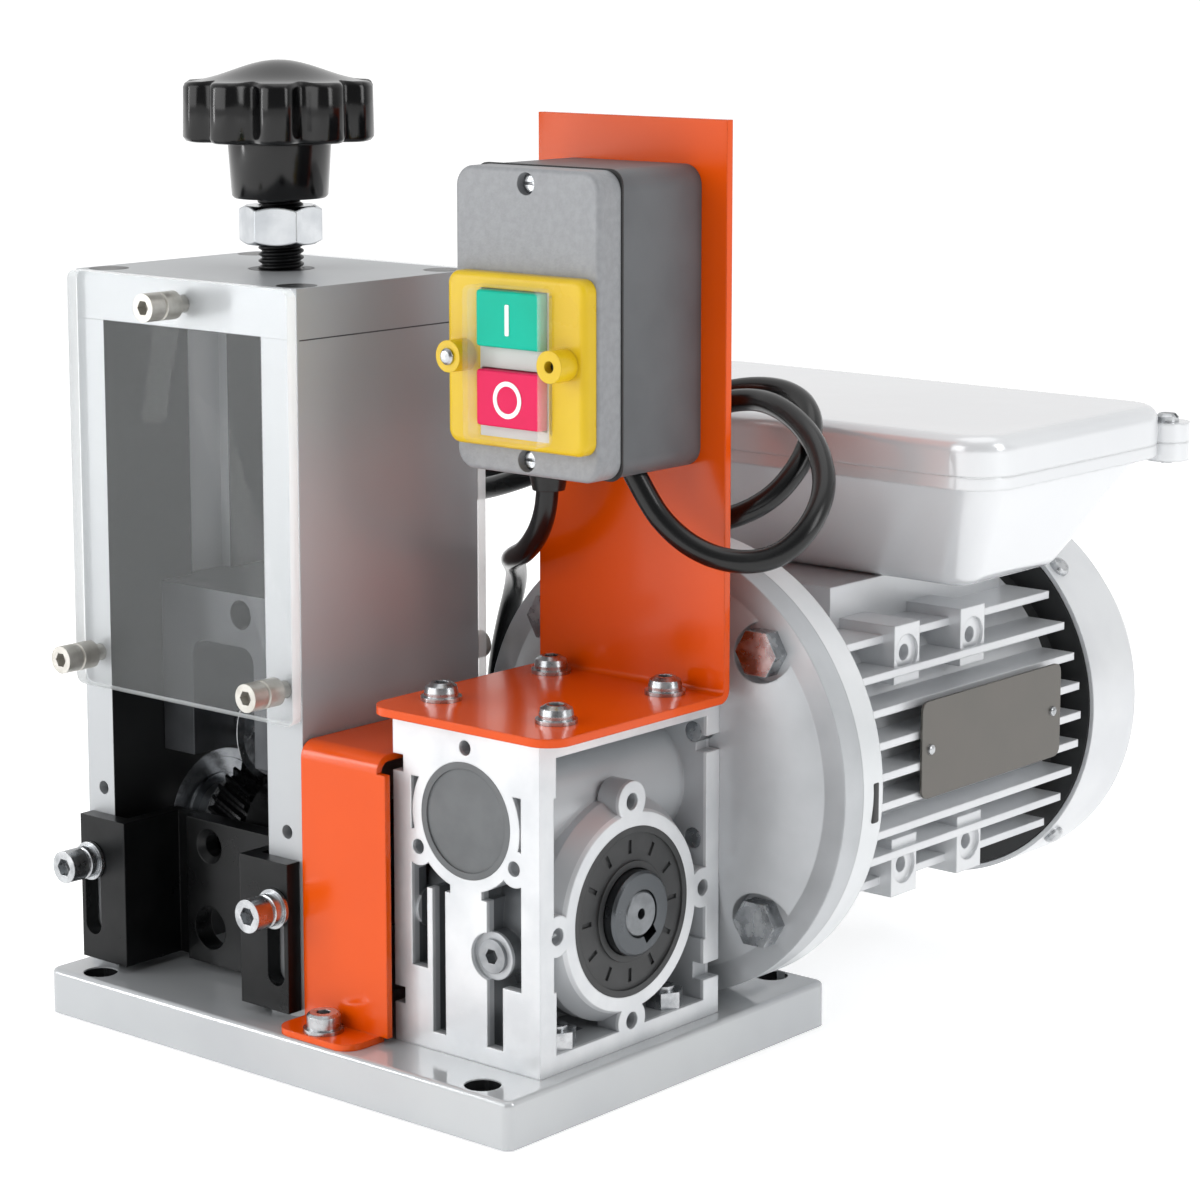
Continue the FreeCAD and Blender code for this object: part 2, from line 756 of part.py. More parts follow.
# Guide: a folded plate that slides up the tower's front on two slotted wings. Its
# back wall and its block carry the two wire holes in front of the feed wheel.
guide = piece("guide_bracket", tower_middle, tower_front, deck + guide_low)
for side in (-1, 1):
    wing = sorted([guide_inner_half * side, guide_half_width * side], key=number)
    guide.pad("XZ", -guide_wing, -slide_gap, rectangle(wing[0], 0, wing[1], guide_height))
    wall = sorted([guide_inner_half * side, (guide_inner_half - guide_wall) * side], key=number)
    guide.pad("XY", 0, guide_height, rectangle(wall[0], -guide_wing, wall[1], guide_reach))
guide.pad(
    "XZ", guide_reach - guide_back, guide_reach,
    rectangle(-guide_inner_half, 0, guide_inner_half, guide_height)
)
block_left = dim("block_left", 18.2)
guide.pad(
    "XZ", guide_reach - guide_back - guide_block, guide_reach - guide_back,
    rectangle(-block_left, 0, guide_inner_half - guide_wall, guide_height)
)
slot_x = tower_width / 2 - wall_screw_inset
slot_half = guide_slot_width / 2
slot_high = guide_screw_height - guide_low + slot_half
slot_low = slot_high - guide_travel - guide_slot_width - slide_gap
guide.cut(
    "XZ", -guide_wing, -slide_gap,
    upright_slot(guide_slot_width, slot_low, slot_high, -slot_x),
    upright_slot(guide_slot_width, slot_low, slot_high, slot_x)
)
block_front = guide_reach - guide_back - guide_block
guide.cut(
    "XZ", block_front, guide_reach,
    circle(wire_hole_radius, -wire_offset, wire_hole_height),
    circle(large_hole_radius, -wire_offset, large_hole_height)
)
mouth = wire_hole_mouth - wire_hole_radius
guide.dress(
    "Chamfer", "Size", mouth,
    lambda edge: lies_at(edge, ALONG_Y, block_front)
    and edge.Length < number(2.1 * math.pi * wire_hole_radius)
    and edge.Curve.TypeId == "Part::GeomCircle"
)

washer_thickness = dim("washer_thickness", 1.2)
washer_radius = dim("washer_radius", 6)
guide_head_height = dim("guide_head_height", 10)
washer = Piece("washer_pattern")
washer.turned("Z", [
    (0, screw_hole), (washer_thickness, screw_hole), (washer_thickness, washer_radius),
    (0, washer_radius),
])
guide_screw = Piece("guide_screw_pattern")
guide_screw.turned("Z", [
    (guide_head_height, 0), (guide_head_height, bolt_head_radius), (4, bolt_head_radius),
    (3.4, bolt_head_radius - 1), (2.8, bolt_head_radius), (0, bolt_head_radius), (0, m6_radius),
    (-guide_wing - tap_depth, m6_radius), (-guide_wing - tap_depth, 0),
])
guide_screw.cut("XY", guide_head_height - socket_depth, guide_head_height, hexagon(socket_flats + 1))
guide_screw_y = tower_front - guide_wing - slide_gap
group("guide_fixings", *[
    (pattern, tower_middle + slot_x * side, guide_screw_y - rise, deck + guide_screw_height, "front")
    for side in (-1, 1)
    for pattern, rise in ((washer, as_size(0)), (guide_screw, washer_thickness))
])

# Feed wheel: two bands of slanting teeth beside a smooth groove, on a hub.
tooth_count = 36


def toothed_band(start, end, slant):
    """A band of slanting teeth round the X axis, lofted between two toothed outlines."""
    outlines = []
    for x, lead in ((start, 0), (end, slant)):
        points = []
        for step in range(2 * tooth_count):
            turn = math.pi * (step + lead) / tooth_count
            radius = number(feed_radius) if step % 2 == 0 else number(feed_radius - tooth_depth)
            points.append(Vector(number(x), radius * math.cos(turn), radius * math.sin(turn)))
        outlines.append(Part.makePolygon(points + [points[0]]))
    return Part.makeLoft(outlines, True, True)


half_feed = feed_width / 2
half_groove = feed_groove_width / 2
hub_reach = dim("feed_hub_reach", 23)
wheel = toothed_band(-half_feed, -half_groove, 2.2).fuse([
    toothed_band(half_groove, half_feed, 2.2),
    Part.makeCylinder(
        number(feed_groove_radius), number(hub_reach + half_feed),
        Vector(number(-hub_reach), 0, 0), ALONG_X
    ),
])
bore = Part.makeCylinder(
    number(shaft_radius + fit_gap), number(4 * hub_reach), Vector(number(-2 * hub_reach), 0, 0), ALONG_X
)
feed_wheel = doc.addObject("Part::Feature", "feed_wheel")
feed_wheel.Label = "feed_wheel"
feed_wheel.Shape = wheel.cut(bore)
set_place(feed_wheel, wire_x, shaft_y, shaft_z)
nodes.append(feed_wheel)

# Drive shaft: one stepped shaft from the left plate through the wheel into the gearbox.
shaft = piece("drive_shaft", tower_left, shaft_y, shaft_z)
shaft_step = tower_width + dim("shaft_step", 2)
shaft_end = tower_width + gearbox_gap + gear_width / 2 + hollow_shaft_length / 2
shaft_bevel = dim("shaft_bevel", 0.8)
shaft.turned("X", [
    (0, 0), (0, shaft_radius - shaft_bevel), (shaft_bevel, shaft_radius),
    (shaft_step, shaft_radius), (shaft_step, output_shaft_radius),
    (shaft_end - shaft_bevel, output_shaft_radius), (shaft_end, output_shaft_radius - shaft_bevel),
    (shaft_end, 1.6), (shaft_end - 6, 1.6), (shaft_end - 7, 0),
])

# Blade carriage: a yoke block with a tongue on each side, an arch for the blade and
# a stepped pocket from above that holds the adjusting screw's button.
carriage = piece("blade_carriage", wire_x, shaft_y, blade_z)
side_left = inner_left - wire_x + slide_gap
side_right = inner_right - wire_x - slide_gap
carriage.pad(
    "XZ", -carriage_front, carriage_back,
    [
        (side_left, -carriage_low), (-arch_half_width, -carriage_low),
        (-arch_half_width, arch_height - cover_corner),
        (-arch_half_width + cover_corner, arch_height,
         -arch_half_width + cover_corner, arch_height - cover_corner, "right"),
        (arch_half_width - cover_corner, arch_height),
        (arch_half_width, arch_height - cover_corner,
         arch_half_width - cover_corner, arch_height - cover_corner, "right"),
        (arch_half_width, -carriage_low), (side_right, -carriage_low),
        (side_right, carriage_top), (side_left, carriage_top),
    ]
)
tongue_middle = groove_middle - shaft_setback
tongue_low = dim("tongue_low", 2)
carriage.pad(
    "XY", tongue_low, carriage_top,
    rectangle(side_left - tongue_depth, tongue_middle - tongue_width / 2,
              side_left, tongue_middle + tongue_width / 2),
    rectangle(side_right, tongue_middle - tongue_width / 2,
              side_right + tongue_depth, tongue_middle + tongue_width / 2)
)
axle_hole = axle_radius + fit_gap
carriage.cut(
    "YZ", side_left - tongue_depth, side_right + tongue_depth, circle(axle_hole)
)
neck_low = carriage_top - neck_height
button_room = neck_low - button_height - slide_gap
carriage.cut(
    "XY", neck_low, carriage_top, circle(neck_radius + slide_gap, wire_offset, -screw_forward)
)
carriage.cut(
    "XY", button_room, neck_low, circle(button_radius + slide_gap, wire_offset, -screw_forward)
)
set_screw_radius = dim("set_screw_radius", 4.5)
set_screw_depth = dim("set_screw_depth", 8)
set_screw_drop = dim("set_screw_drop", 6.4)
carriage.cut(
    "XZ", -carriage_front, -carriage_front + set_screw_depth,
    circle(set_screw_radius, wire_offset, carriage_top - set_screw_drop)
)

blade = piece("blade", wire_x, shaft_y, blade_z)
hub_half = arch_half_width - slide_gap
blade_half = blade_thickness / 2
sleeve_radius = dim("sleeve_radius", 6.5)
washer_half = dim("blade_washer_half", 4)
bore_radius = axle_radius + running_gap
blade.turned("X", [
    (-hub_half, bore_radius), (-hub_half, sleeve_radius), (-washer_half, sleeve_radius),
    (-washer_half, blade_hub_radius), (-blade_half, blade_hub_radius),
    (-blade_half, blade_radius - blade_thickness), (0, blade_radius),
    (blade_half, blade_radius - blade_thickness), (blade_half, blade_hub_radius),
    (washer_half, blade_hub_radius), (washer_half, sleeve_radius), (hub_half, sleeve_radius),
    (hub_half, bore_radius),
])
axle = piece("blade_axle", wire_x, shaft_y, blade_z)
axle.turned("X", [
    (side_left, 0), (side_left, axle_radius), (side_right, axle_radius), (side_right, 0),
])

# Adjusting screw: a coarse screw through the top plate, with a button end in the
# carriage, a lock nut and a lobed hand knob.
screw_place = (tower_middle, shaft_y - screw_forward)
screw_foot = blade_z + neck_low - button_height
thread_low = neck_height + button_height + slide_gap
nut_low = tower_top + nut_clearance - screw_foot
knob_low = nut_low + nut_height + thread_show
knob_top = knob_low + knob_hub_height + knob_grip + knob_dome
screw_top = knob_low + knob_hub_height + knob_grip / 3
adjuster = piece("adjusting_screw", *screw_place, screw_foot)
adjuster.turned("Z", [
    (0, 0), (0, button_radius), (button_height - slide_gap, button_radius),
    (button_height - slide_gap, neck_radius), (thread_low, neck_radius),
    (thread_low, thread_radius - 1), (thread_low + 1, thread_radius),
    (screw_top, thread_radius), (screw_top, 0),
])
nut = piece("lock_nut", *screw_place, screw_foot + nut_low)
nut.pad("XY", 0, nut_height, hexagon(nut_flats))
nut.cut("XY", 0, nut_height, circle(thread_radius + thread_gap))
nut_bevel = dim("nut_bevel", 1.6)
nut_corner = nut_flats / math.sqrt(3)
nut.turned("Z", [
    (nut_height, nut_flats / 2), (nut_height, nut_corner + 1),
    (nut_height - nut_bevel - 1, nut_corner + 1), (nut_height - nut_bevel, nut_corner),
], "Groove")
nut.turned("Z", [
    (0, nut_flats / 2), (nut_bevel, nut_corner), (nut_bevel + 1, nut_corner + 1),
    (0, nut_corner + 1),
], "Groove")

knob = piece("knob", *screw_place, screw_foot + knob_low)
grip_low = knob_hub_height
grip_high = knob_hub_height + knob_grip
knob_edge = dim("knob_edge", 3)
hub_flare = dim("knob_hub_flare", 1.5)
dome_radius = dim("knob_dome_radius", 20)
knob.turned("Z", [
    (0, 0), (0, knob_hub_radius - hub_flare), (knob_hub_height, knob_hub_radius),
    (grip_low, knob_radius - knob_edge),
    (grip_low + knob_edge, knob_radius, grip_low + knob_edge, knob_radius - knob_edge, "right"),
    (grip_high - knob_edge, knob_radius),
    (grip_high, knob_radius - knob_edge, grip_high - knob_edge, knob_radius - knob_edge, "right"),
    (grip_high, dome_radius + knob_edge), (grip_high + knob_dome, dome_radius - knob_edge),
    (grip_high + knob_dome, 0),
])
scallop = knob.cut("XY", grip_low, grip_high + knob_dome, circle(knob_scallop, knob_radius + 3))
knob.around(scallop, "Z", 7)
knob.cut("XY", 0, screw_top - knob_low, circle(thread_radius + fit_gap))

# Gearbox housing: a ribbed casting drawn about the output axis. Drum across, worm barrel
# from front to back, foot and top plates, corner pillars and a thick rear face.
gear = piece("gearbox_housing", gear_x, shaft_y, shaft_z)
half_x = gear_width / 2
half_y = gear_length / 2
foot = -output_height
roof = gear_height - output_height
pillar_x = dim("pillar_x", 7)
pillar_y = dim("pillar_y", 6)
web_half = dim("web_half", 6)
gear.pad("XY", foot, foot + gear_plate, rectangle(-half_x, -half_y, half_x, half_y))
gear.pad("XY", roof - gear_plate, roof, rectangle(-half_x, -half_y, half_x, half_y))
gear.pad("YZ", -web_half, web_half, rectangle(-half_y, foot, half_y, roof))
gear.pad("XY", foot, roof, *[
    rectangle(min(a, b, key=number), min(c, d, key=number), max(a, b, key=number), max(c, d, key=number))
    for a, b in ((-half_x, pillar_x - half_x), (half_x - pillar_x, half_x))
    for c, d in ((-half_y, pillar_y - half_y), (half_y - pillar_y, half_y))
])
drum_step = dim("drum_step", 6)
gear.turned("X", [
    (-half_x, 0), (-half_x, output_ring_radius), (-half_x + drum_step, drum_radius),
    (half_x - drum_step, drum_radius), (half_x, output_ring_radius), (half_x, 0),
])
gear.pad("XZ", -half_y, half_y, circle(worm_barrel_radius, 0, centre_distance))
rear_face = dim("rear_face", 6)
rear_low = dim("rear_face_low", 2)
gear.pad("XZ", half_y - rear_face, half_y, rectangle(-half_x, rear_low, half_x, roof))
front_ring = dim("front_ring_radius", 20.5)
front_ring_depth = dim("front_ring_depth", 7)
front_band = dim("front_band", 17)
gear.pad("XZ", -half_y, -half_y + front_ring_depth, circle(front_ring, 0, centre_distance))
gear.pad(
    "XZ", -half_y, -half_y + front_ring_depth, rectangle(-half_x, roof - front_band, half_x, roof)
)
cap_ear_circle = dim("cap_ear_circle", 21.2)
cap_ear_radius = dim("cap_ear_radius", 5.5)
cap_ears = [
    (cap_ear_circle * math.cos(math.radians(turn)),
     centre_distance + cap_ear_circle * math.sin(math.radians(turn)))
    for turn in (90, 210, 330)
]
for x, z in cap_ears:
    gear.pad("XZ", -half_y, -half_y + front_ring_depth, circle(cap_ear_radius, x, z))
fin_half = dim("fin_half", 1)
fin_top = dim("fin_top", 8)
fin_pitch = dim("fin_pitch", 7)
gear.pad("XZ", -half_y, -half_y + 2 * front_ring_depth, *[
    rectangle(fin_pitch * step - fin_half, foot, fin_pitch * step + fin_half, fin_top)
    for step in (-2, -1, 0, 1)
])
foot_block_x = dim("foot_block_x", 14)
foot_block_y = dim("foot_block_y", 7)
foot_block_height = dim("foot_block_height", 24)
gear.pad("XY", foot, foot + foot_block_height, *[
    rectangle(min(a, b, key=number), min(c, d, key=number), max(a, b, key=number), max(c, d, key=number))
    for a, b in ((-half_x, foot_block_x - half_x), (half_x - foot_block_x, half_x))
    for c, d in ((-half_y, foot_block_y - half_y), (half_y - foot_block_y, half_y))
])
ear_radius = dim("ear_radius", 6)
ear_length = dim("ear_length", 8)
ear_places = [(0, 1), (0, -1), (1, 0), (-1, 0)]
for low, high in ((-half_x, -half_x + ear_length), (half_x - ear_length, half_x)):
    for a, b in ear_places:
        gear.pad(
            "YZ", low, high, circle(ear_radius, ear_circle_radius * a, ear_circle_radius * b)
        )
oil_x = dim("oil_plug_x", 9)
oil_z = dim("oil_plug_z", -8)
plug_boss = dim("plug_boss", 7)
plug_radius = dim("oil_plug_radius", 4)
gear.pad("XZ", -half_y + 2, -half_y + 2 * front_ring_depth, circle(plug_boss, oil_x, oil_z))
cavity_radius = dim("cavity_radius", 23)
seat = half_x - seal_thickness
inner_seat = seat - output_bearing_width
gear.turned("X", [
    (-half_x, 0), (-half_x, seal_radius), (-seat, seal_radius), (-seat, output_bearing_radius),
    (-inner_seat, output_bearing_radius), (-inner_seat, cavity_radius),
    (inner_seat, cavity_radius), (inner_seat, output_bearing_radius),
    (seat, output_bearing_radius), (seat, seal_radius), (half_x, seal_radius), (half_x, 0),
], "Groove")
worm_bore = dim("worm_bore", 11)
cap_seat = -half_y + worm_cap_thickness
front_seat = cap_seat + worm_bearing_width
rear_seat = half_y - 4 - worm_bearing_width
gear.cut("XZ", -half_y, cap_seat, circle(worm_cap_radius, 0, centre_distance))
gear.cut("XZ", cap_seat, front_seat, circle(worm_bearing_radius, 0, centre_distance))
gear.cut("XZ", front_seat, rear_seat, circle(worm_bore, 0, centre_distance))
gear.cut("XZ", rear_seat, half_y, circle(worm_bearing_radius, 0, centre_distance))
ear_tap = dim("ear_tap", 10)
for low, high in ((-half_x, -half_x + ear_tap), (half_x - ear_tap, half_x)):
    gear.cut(
        "YZ", low, high,
        *[circle(m5_radius, ear_circle_radius * a, ear_circle_radius * b) for a, b in ear_places]
    )
cap_tap = dim("cap_tap_radius", 2.2)
gear.cut("XZ", -half_y, -half_y + ear_tap, *[circle(cap_tap, x, z) for x, z in cap_ears])
gear.cut("XZ", -half_y + 2, -half_y + ear_tap, circle(plug_radius, oil_x, oil_z))
gear.cut("XZ", -half_y, -half_y + 2, circle(plug_boss, oil_x, oil_z))
bolt_places = [
    (gear_bolt_x / 2 * a, gear_bolt_shift + gear_bolt_y / 2 * b) for a, b in corners
]
gear.cut("XY", foot, foot + gear_plate, *[circle(screw_hole, x, y) for x, y in bolt_places])
gear.cut("XY", roof - gear_plate, roof, *[circle(screw_hole, x, y) for x, y in bolt_places])
notch_deep = dim("notch_deep", 4)
notch_high = dim("notch_high", 2.5)
notch_low = dim("notch_low_height", 14)
notch_top = dim("notch_top_height", 83)
gear.cut("XZ", -half_y, -half_y + front_ring_depth, *[
    rectangle(-half_x, foot + height - notch_high, -half_x + notch_deep, foot + height + notch_high)
    for height in (notch_low, notch_top)
])
gear.cut("XZ", half_y - front_ring_depth, half_y, *[
    rectangle(
        half_x - notch_deep, foot + height - notch_high, half_x, foot + height + notch_high
    )
    for height in (notch_low, notch_top)
])
adapter_tap = dim("adapter_tap_circle", 28)
adapter_taps = [
    (adapter_tap * math.cos(math.radians(turn)), adapter_tap * math.sin(math.radians(turn)))
    for turn in (35, 145, 215, 325)
]
gear.cut(
    "XZ", half_y - rear_face, half_y,
    *[circle(screw_hole, x, centre_distance + z) for x, z in adapter_taps]
)

worm_cap = piece("worm_cap", gear_x, gear_front, worm_z)
cap_lip = dim("cap_lip", 2)
cap_sink = dim("cap_sink", 0.5)
worm_cap.turned("Y", [
    (cap_sink, 0), (cap_sink, worm_cap_radius - cap_lip), (0, worm_cap_radius - cap_lip),
    (0, worm_cap_radius - fit_gap), (worm_cap_thickness, worm_cap_radius - fit_gap),
    (worm_cap_thickness, 0),
])

oil_plug = piece("oil_plug", gear_x + oil_x, gear_front + 2, shaft_z + oil_z)
plug_proud = dim("plug_proud", 1.2)
oil_plug.turned("Y", [
    (-plug_proud, 0), (-plug_proud, plug_radius + 1), (0, plug_radius + 1), (0, plug_radius),
    (6, plug_radius), (6, 0),
])
oil_plug.cut("XZ", -plug_proud, 2, hexagon(socket_flats))

seal = Piece("seal_pattern")
seal_bore = hollow_shaft_radius + slide_gap
seal_lip = dim("seal_lip", 2)
seal_sink = dim("seal_sink", 0.8)
seal.turned("Z", [
    (0, seal_bore), (seal_thickness, seal_bore), (seal_thickness, seal_bore + seal_lip),
    (seal_thickness - seal_sink, seal_bore + seal_lip),
    (seal_thickness - seal_sink, seal_radius - seal_lip), (seal_thickness, seal_radius - seal_lip),
    (seal_thickness, seal_radius - fit_gap), (0, seal_radius - fit_gap),
])
rib_half = dim("seal_rib_half", 0.7)
rib_start = dim("seal_rib_start", 17)
rib_end = dim("seal_rib_end", 21)
rib = seal.cut(
    "XY", seal_thickness - 2 * seal_sink, seal_thickness,
    rectangle(rib_start, -rib_half, rib_end, rib_half)
)
seal.around(rib, "Z", 12)
group(
    "output_seals",
    (seal, gear_x + seat, shaft_y, shaft_z, "right"),
    (seal, gear_x - seat, shaft_y, shaft_z, "left"),
)

output_bearing = bearing(
    "output_bearing_pattern", hollow_shaft_radius + running_gap,
    output_bearing_radius - fit_gap, output_bearing_width
)
worm_journal = dim("worm_journal", 6)
worm_rear_radius = dim("worm_rear_radius", 8.5)
worm_front_bearing = bearing(
    "worm_front_pattern", worm_journal + running_gap, worm_bearing_radius - fit_gap, worm_bearing_width
)
worm_rear_bearing = bearing(
    "worm_rear_pattern", worm_rear_radius + running_gap, worm_bearing_radius - fit_gap, worm_bearing_width
)
group(
    "gearbox_bearings",
    (output_bearing, gear_x - seat + output_bearing_width / 2, shaft_y, shaft_z, "right"),
    (output_bearing, gear_x + seat - output_bearing_width / 2, shaft_y, shaft_z, "right"),
    (worm_front_bearing, gear_x, shaft_y + cap_seat + worm_bearing_width / 2, worm_z, "back"),
    (worm_rear_bearing, gear_x, shaft_y + rear_seat + worm_bearing_width / 2, worm_z, "back"),
)

# Gears: a hollow output shaft with the worm wheel, keyed to the drive shaft, and the worm.
wheel_radius = centre_distance - worm_radius - slide_gap
wheel_half = inner_seat - 1
hollow_half = hollow_shaft_length / 2
hollow_bore = output_shaft_radius + fit_gap
worm_wheel = piece("worm_wheel", gear_x, shaft_y, shaft_z)
worm_wheel.turned("X", [
    (-hollow_half, hollow_bore), (-hollow_half, hollow_shaft_radius - shaft_bevel),
    (-hollow_half + shaft_bevel, hollow_shaft_radius), (-wheel_half, hollow_shaft_radius),
    (-wheel_half, wheel_radius), (wheel_half, wheel_radius), (wheel_half, hollow_shaft_radius),
    (hollow_half - shaft_bevel, hollow_shaft_radius),
    (hollow_half, hollow_shaft_radius - shaft_bevel), (hollow_half, hollow_bore),
])
key_half = dim("key_half", 2.5)
keyway_top = dim("keyway_top", 9.3)
key_seat = dim("key_seat", 4.5)


def key_outline(half, inside, outside):
    """The key's section at five o'clock, seen from the open end of the hollow shaft."""
    down, over = math.cos(math.radians(30)), math.sin(math.radians(30))
    return [
        (over * deep + down * side, over * side - down * deep)
        for deep, side in ((inside, -half), (outside, -half), (outside, half), (inside, half))
    ]


worm_wheel.cut("YZ", -hollow_half, hollow_half, key_outline(key_half + fit_gap, key_seat, keyway_top))
key_length = dim("key_length", 40)
key_end = hollow_half - dim("key_setback", 8)
shaft_origin = gear_x - tower_left
shaft.cut(
    "YZ", shaft_origin + key_end - key_length, shaft_origin + key_end,
    key_outline(key_half + fit_gap, key_seat, output_shaft_radius + 2)
)
key = piece("shaft_key", gear_x, shaft_y, shaft_z)
key.pad(
    "YZ", key_end - key_length, key_end, key_outline(key_half, key_seat + fit_gap, keyway_top - fit_gap)
)

worm = piece("worm", gear_x, shaft_y, worm_z)
worm_half = dim("worm_half", 20)
worm_core = dim("worm_core", 8)
motor_bore_start = dim("motor_bore_start", 8)
worm.turned("Y", [
    (cap_seat + 1, 0), (cap_seat + 1, worm_journal), (front_seat, worm_journal),
    (front_seat, worm_core), (-worm_half, worm_core), (-worm_half, worm_radius),
    (worm_half, worm_radius), (worm_half, worm_core), (rear_seat, worm_core),
    (rear_seat, worm_rear_radius), (half_y - 1, worm_rear_radius),
    (half_y - 1, motor_shaft_radius + fit_gap), (motor_bore_start, motor_shaft_radius + fit_gap),
    (motor_bore_start, 0),
])

# Foot bolts from under the base with nuts on the gearbox foot.
small_flats = dim("m6_nut_flats", 10)
small_nut_height = dim("m6_nut_height", 5)
foot_bolt = Piece("foot_bolt_pattern")
foot_bolt_length = deck - bolt_head_height + gear_plate + small_nut_height + 1
foot_bolt.turned("Z", [
    (0, 0), (0, bolt_head_radius), (bolt_head_height, bolt_head_radius),
    (bolt_head_height, m6_radius), (bolt_head_height + foot_bolt_length, m6_radius),
    (bolt_head_height + foot_bolt_length, 0),
])
foot_bolt.cut("XY", 0, socket_depth, hexagon(socket_flats + 1))
small_nut = Piece("small_nut_pattern")
small_nut.pad("XY", 0, small_nut_height, hexagon(small_flats))
small_nut.cut("XY", 0, small_nut_height, circle(screw_hole))
group("gearbox_bolts", *[
    (pattern, x, y, z, "up")
    for x, y in gear_bolts
    for pattern, z in ((foot_bolt, slide_gap), (small_nut, deck + gear_plate))
])

# Adapter flange: a domed round flange between gearbox and motor, held to the gearbox by
# four countersunk screws and to the motor by four hexagon bolts.
flange = piece("gearbox_flange", gear_x, gear_rear, worm_z)
neck = dim("flange_neck", 36)
dome_end = dim("dome_end", 62)
dome_depth = adapter_thickness - adapter_rim
rise = dome_end - neck
dome_middle = (dome_depth * dome_depth + rise * rise) / (2 * dome_depth)
flange_bore = dim("flange_bore", 12)
flange_wall = dim("flange_wall", 7)
flange_hollow = dim("flange_hollow", 44)
flange.turned("Y", [
    (0, flange_bore), (0, neck), (dome_depth, dome_end, dome_middle, neck, "right"),
    (dome_depth, flange_radius), (adapter_thickness, flange_radius),
    (adapter_thickness, flange_hollow), (flange_wall, neck), (flange_wall, flange_bore),
])
bolt_at = flange_bolt_circle / math.sqrt(2)
flange_bolt_places = [(bolt_at * a, bolt_at * b) for a, b in corners]
spot_radius = dim("spot_radius", 9)
spot_depth = dim("spot_depth", 6)
bolt_hole = m8_radius + thread_gap
flange.cut("XZ", 0, spot_depth, *[circle(spot_radius, x, z) for x, z in flange_bolt_places])
flange.cut(
    "XZ", 0, adapter_thickness, *[circle(bolt_hole, x, z) for x, z in flange_bolt_places]
)
flange.cut("XZ", 0, flange_wall, *[circle(screw_hole, x, z) for x, z in adapter_taps])
flange.cut(
    "XZ", flange_wall - flat_screw_head_height, flange_wall,
    *[circle(flat_screw_head + thread_gap, x, z) for x, z in adapter_taps]
)
adapter_screw = Piece("adapter_screw_pattern")
adapter_reach = flange_wall + rear_face
adapter_screw.turned("Z", [
    (0, 0), (0, flat_screw_head), (-flat_screw_head_height, m6_radius),
    (-adapter_reach, m6_radius), (-adapter_reach, 0),
])
group("adapter_screws", *[
    (adapter_screw, gear_x + x, gear_rear + flange_wall, worm_z + z, "back")
    for x, z in adapter_taps
])

motor_flange = piece("motor_flange", gear_x, motor_front, worm_z)
hub_radius = dim("motor_hub_radius", 22)
hub_back = motor_flange_thickness + motor_bearing_width + 2
shaft_room = motor_shaft_radius + 3
bearing_start = hub_back - motor_bearing_width
spigot = motor_bore_radius - slide_gap
motor_flange.turned("Y", [
    (0, shaft_room), (0, flange_radius), (motor_flange_thickness, flange_radius),
    (motor_flange_thickness, spigot), (motor_flange_thickness + 3, spigot),
    (motor_flange_thickness + 3, hub_radius), (hub_back, hub_radius),
    (hub_back, motor_bearing_radius), (bearing_start, motor_bearing_radius),
    (bearing_start, shaft_room),
])
motor_flange.cut(
    "XZ", 0, motor_flange_thickness, *[circle(bolt_hole, x, z) for x, z in flange_bolt_places]
)
big_flats = dim("m8_flats", 13)
big_head_height = dim("m8_head_height", 5.5)
big_nut_height = dim("m8_nut_height", 6.5)
flange_bolt = Piece("flange_bolt_pattern")
bolt_grip = adapter_thickness - spot_depth + motor_flange_thickness
bolt_run = bolt_grip + big_nut_height + 1
flange_bolt.pad("XY", 0, big_head_height, hexagon(big_flats))
flange_bolt.pad("XY", -bolt_run, 0, circle(m8_radius))
big_nut = Piece("big_nut_pattern")
big_nut.pad("XY", 0, big_nut_height, hexagon(big_flats))
big_nut.cut("XY", 0, big_nut_height, circle(bolt_hole))
group("flange_bolts", *[
    (pattern, gear_x + x, y, worm_z + z, facing)
    for x, z in flange_bolt_places
    for pattern, y, facing in (
        (flange_bolt, gear_rear + spot_depth, "front"), (big_nut, frame_front, "back")
    )
])

# Motor frame: a round core with level cooling fins each side, a pedestal for the terminal
# box and four square pads on each side.
def root(size):
    """The square root of a size."""
    return Size(math.sqrt(size.value), "sqrt(%s)" % size.formula)


frame = piece("motor_frame", gear_x, frame_front, worm_z)
frame.pad("XZ", 0, motor_length, circle(motor_core_radius))
fin_heights = [motor_fin_pitch * step for step in range(-4, 5)]
core_square = motor_core_radius * motor_core_radius
fin_square = motor_fin_radius * motor_fin_radius
fins = []
for height in fin_heights:
    middle = height * height
    inside = root(core_square - middle) - 2
    outside = root(fin_square - middle)
    low, high = height - motor_fin_thickness / 2, height + motor_fin_thickness / 2
    fins.append(rectangle(-outside, low, -inside, high))
    fins.append(rectangle(inside, low, outside, high))
frame.pad("XZ", 0, motor_length, *fins)
pedestal_half = dim("pedestal_half", 32)
pedestal_start = dim("pedestal_start", 24)
pedestal_length = dim("pedestal_length", 92)
pedestal_low = dim("pedestal_low", 20)
frame.pad(
    "XY", pedestal_low, box_seat_height,
    rectangle(-pedestal_half, pedestal_start, pedestal_half, pedestal_start + pedestal_length)
)
pad_height = dim("pad_height", 33)
pad_out = dim("pad_out", 52.5)
pad_in = dim("pad_in", 32)
pad_half_y = dim("pad_half_y", 6.5)
pad_half_z = dim("pad_half_z", 9)
pad_first = dim("pad_first", 35.5)
pad_second = dim("pad_second", 70.5)
for along in (pad_first, pad_second):
    frame.pad("XZ", along - pad_half_y, along + pad_half_y, *[
        rectangle(min(a, b, key=number), middle - pad_half_z, max(a, b, key=number), middle + pad_half_z)
        for a, b in ((-pad_out, -pad_in), (pad_in, pad_out))
        for middle in (-pad_height, pad_height)
    ])
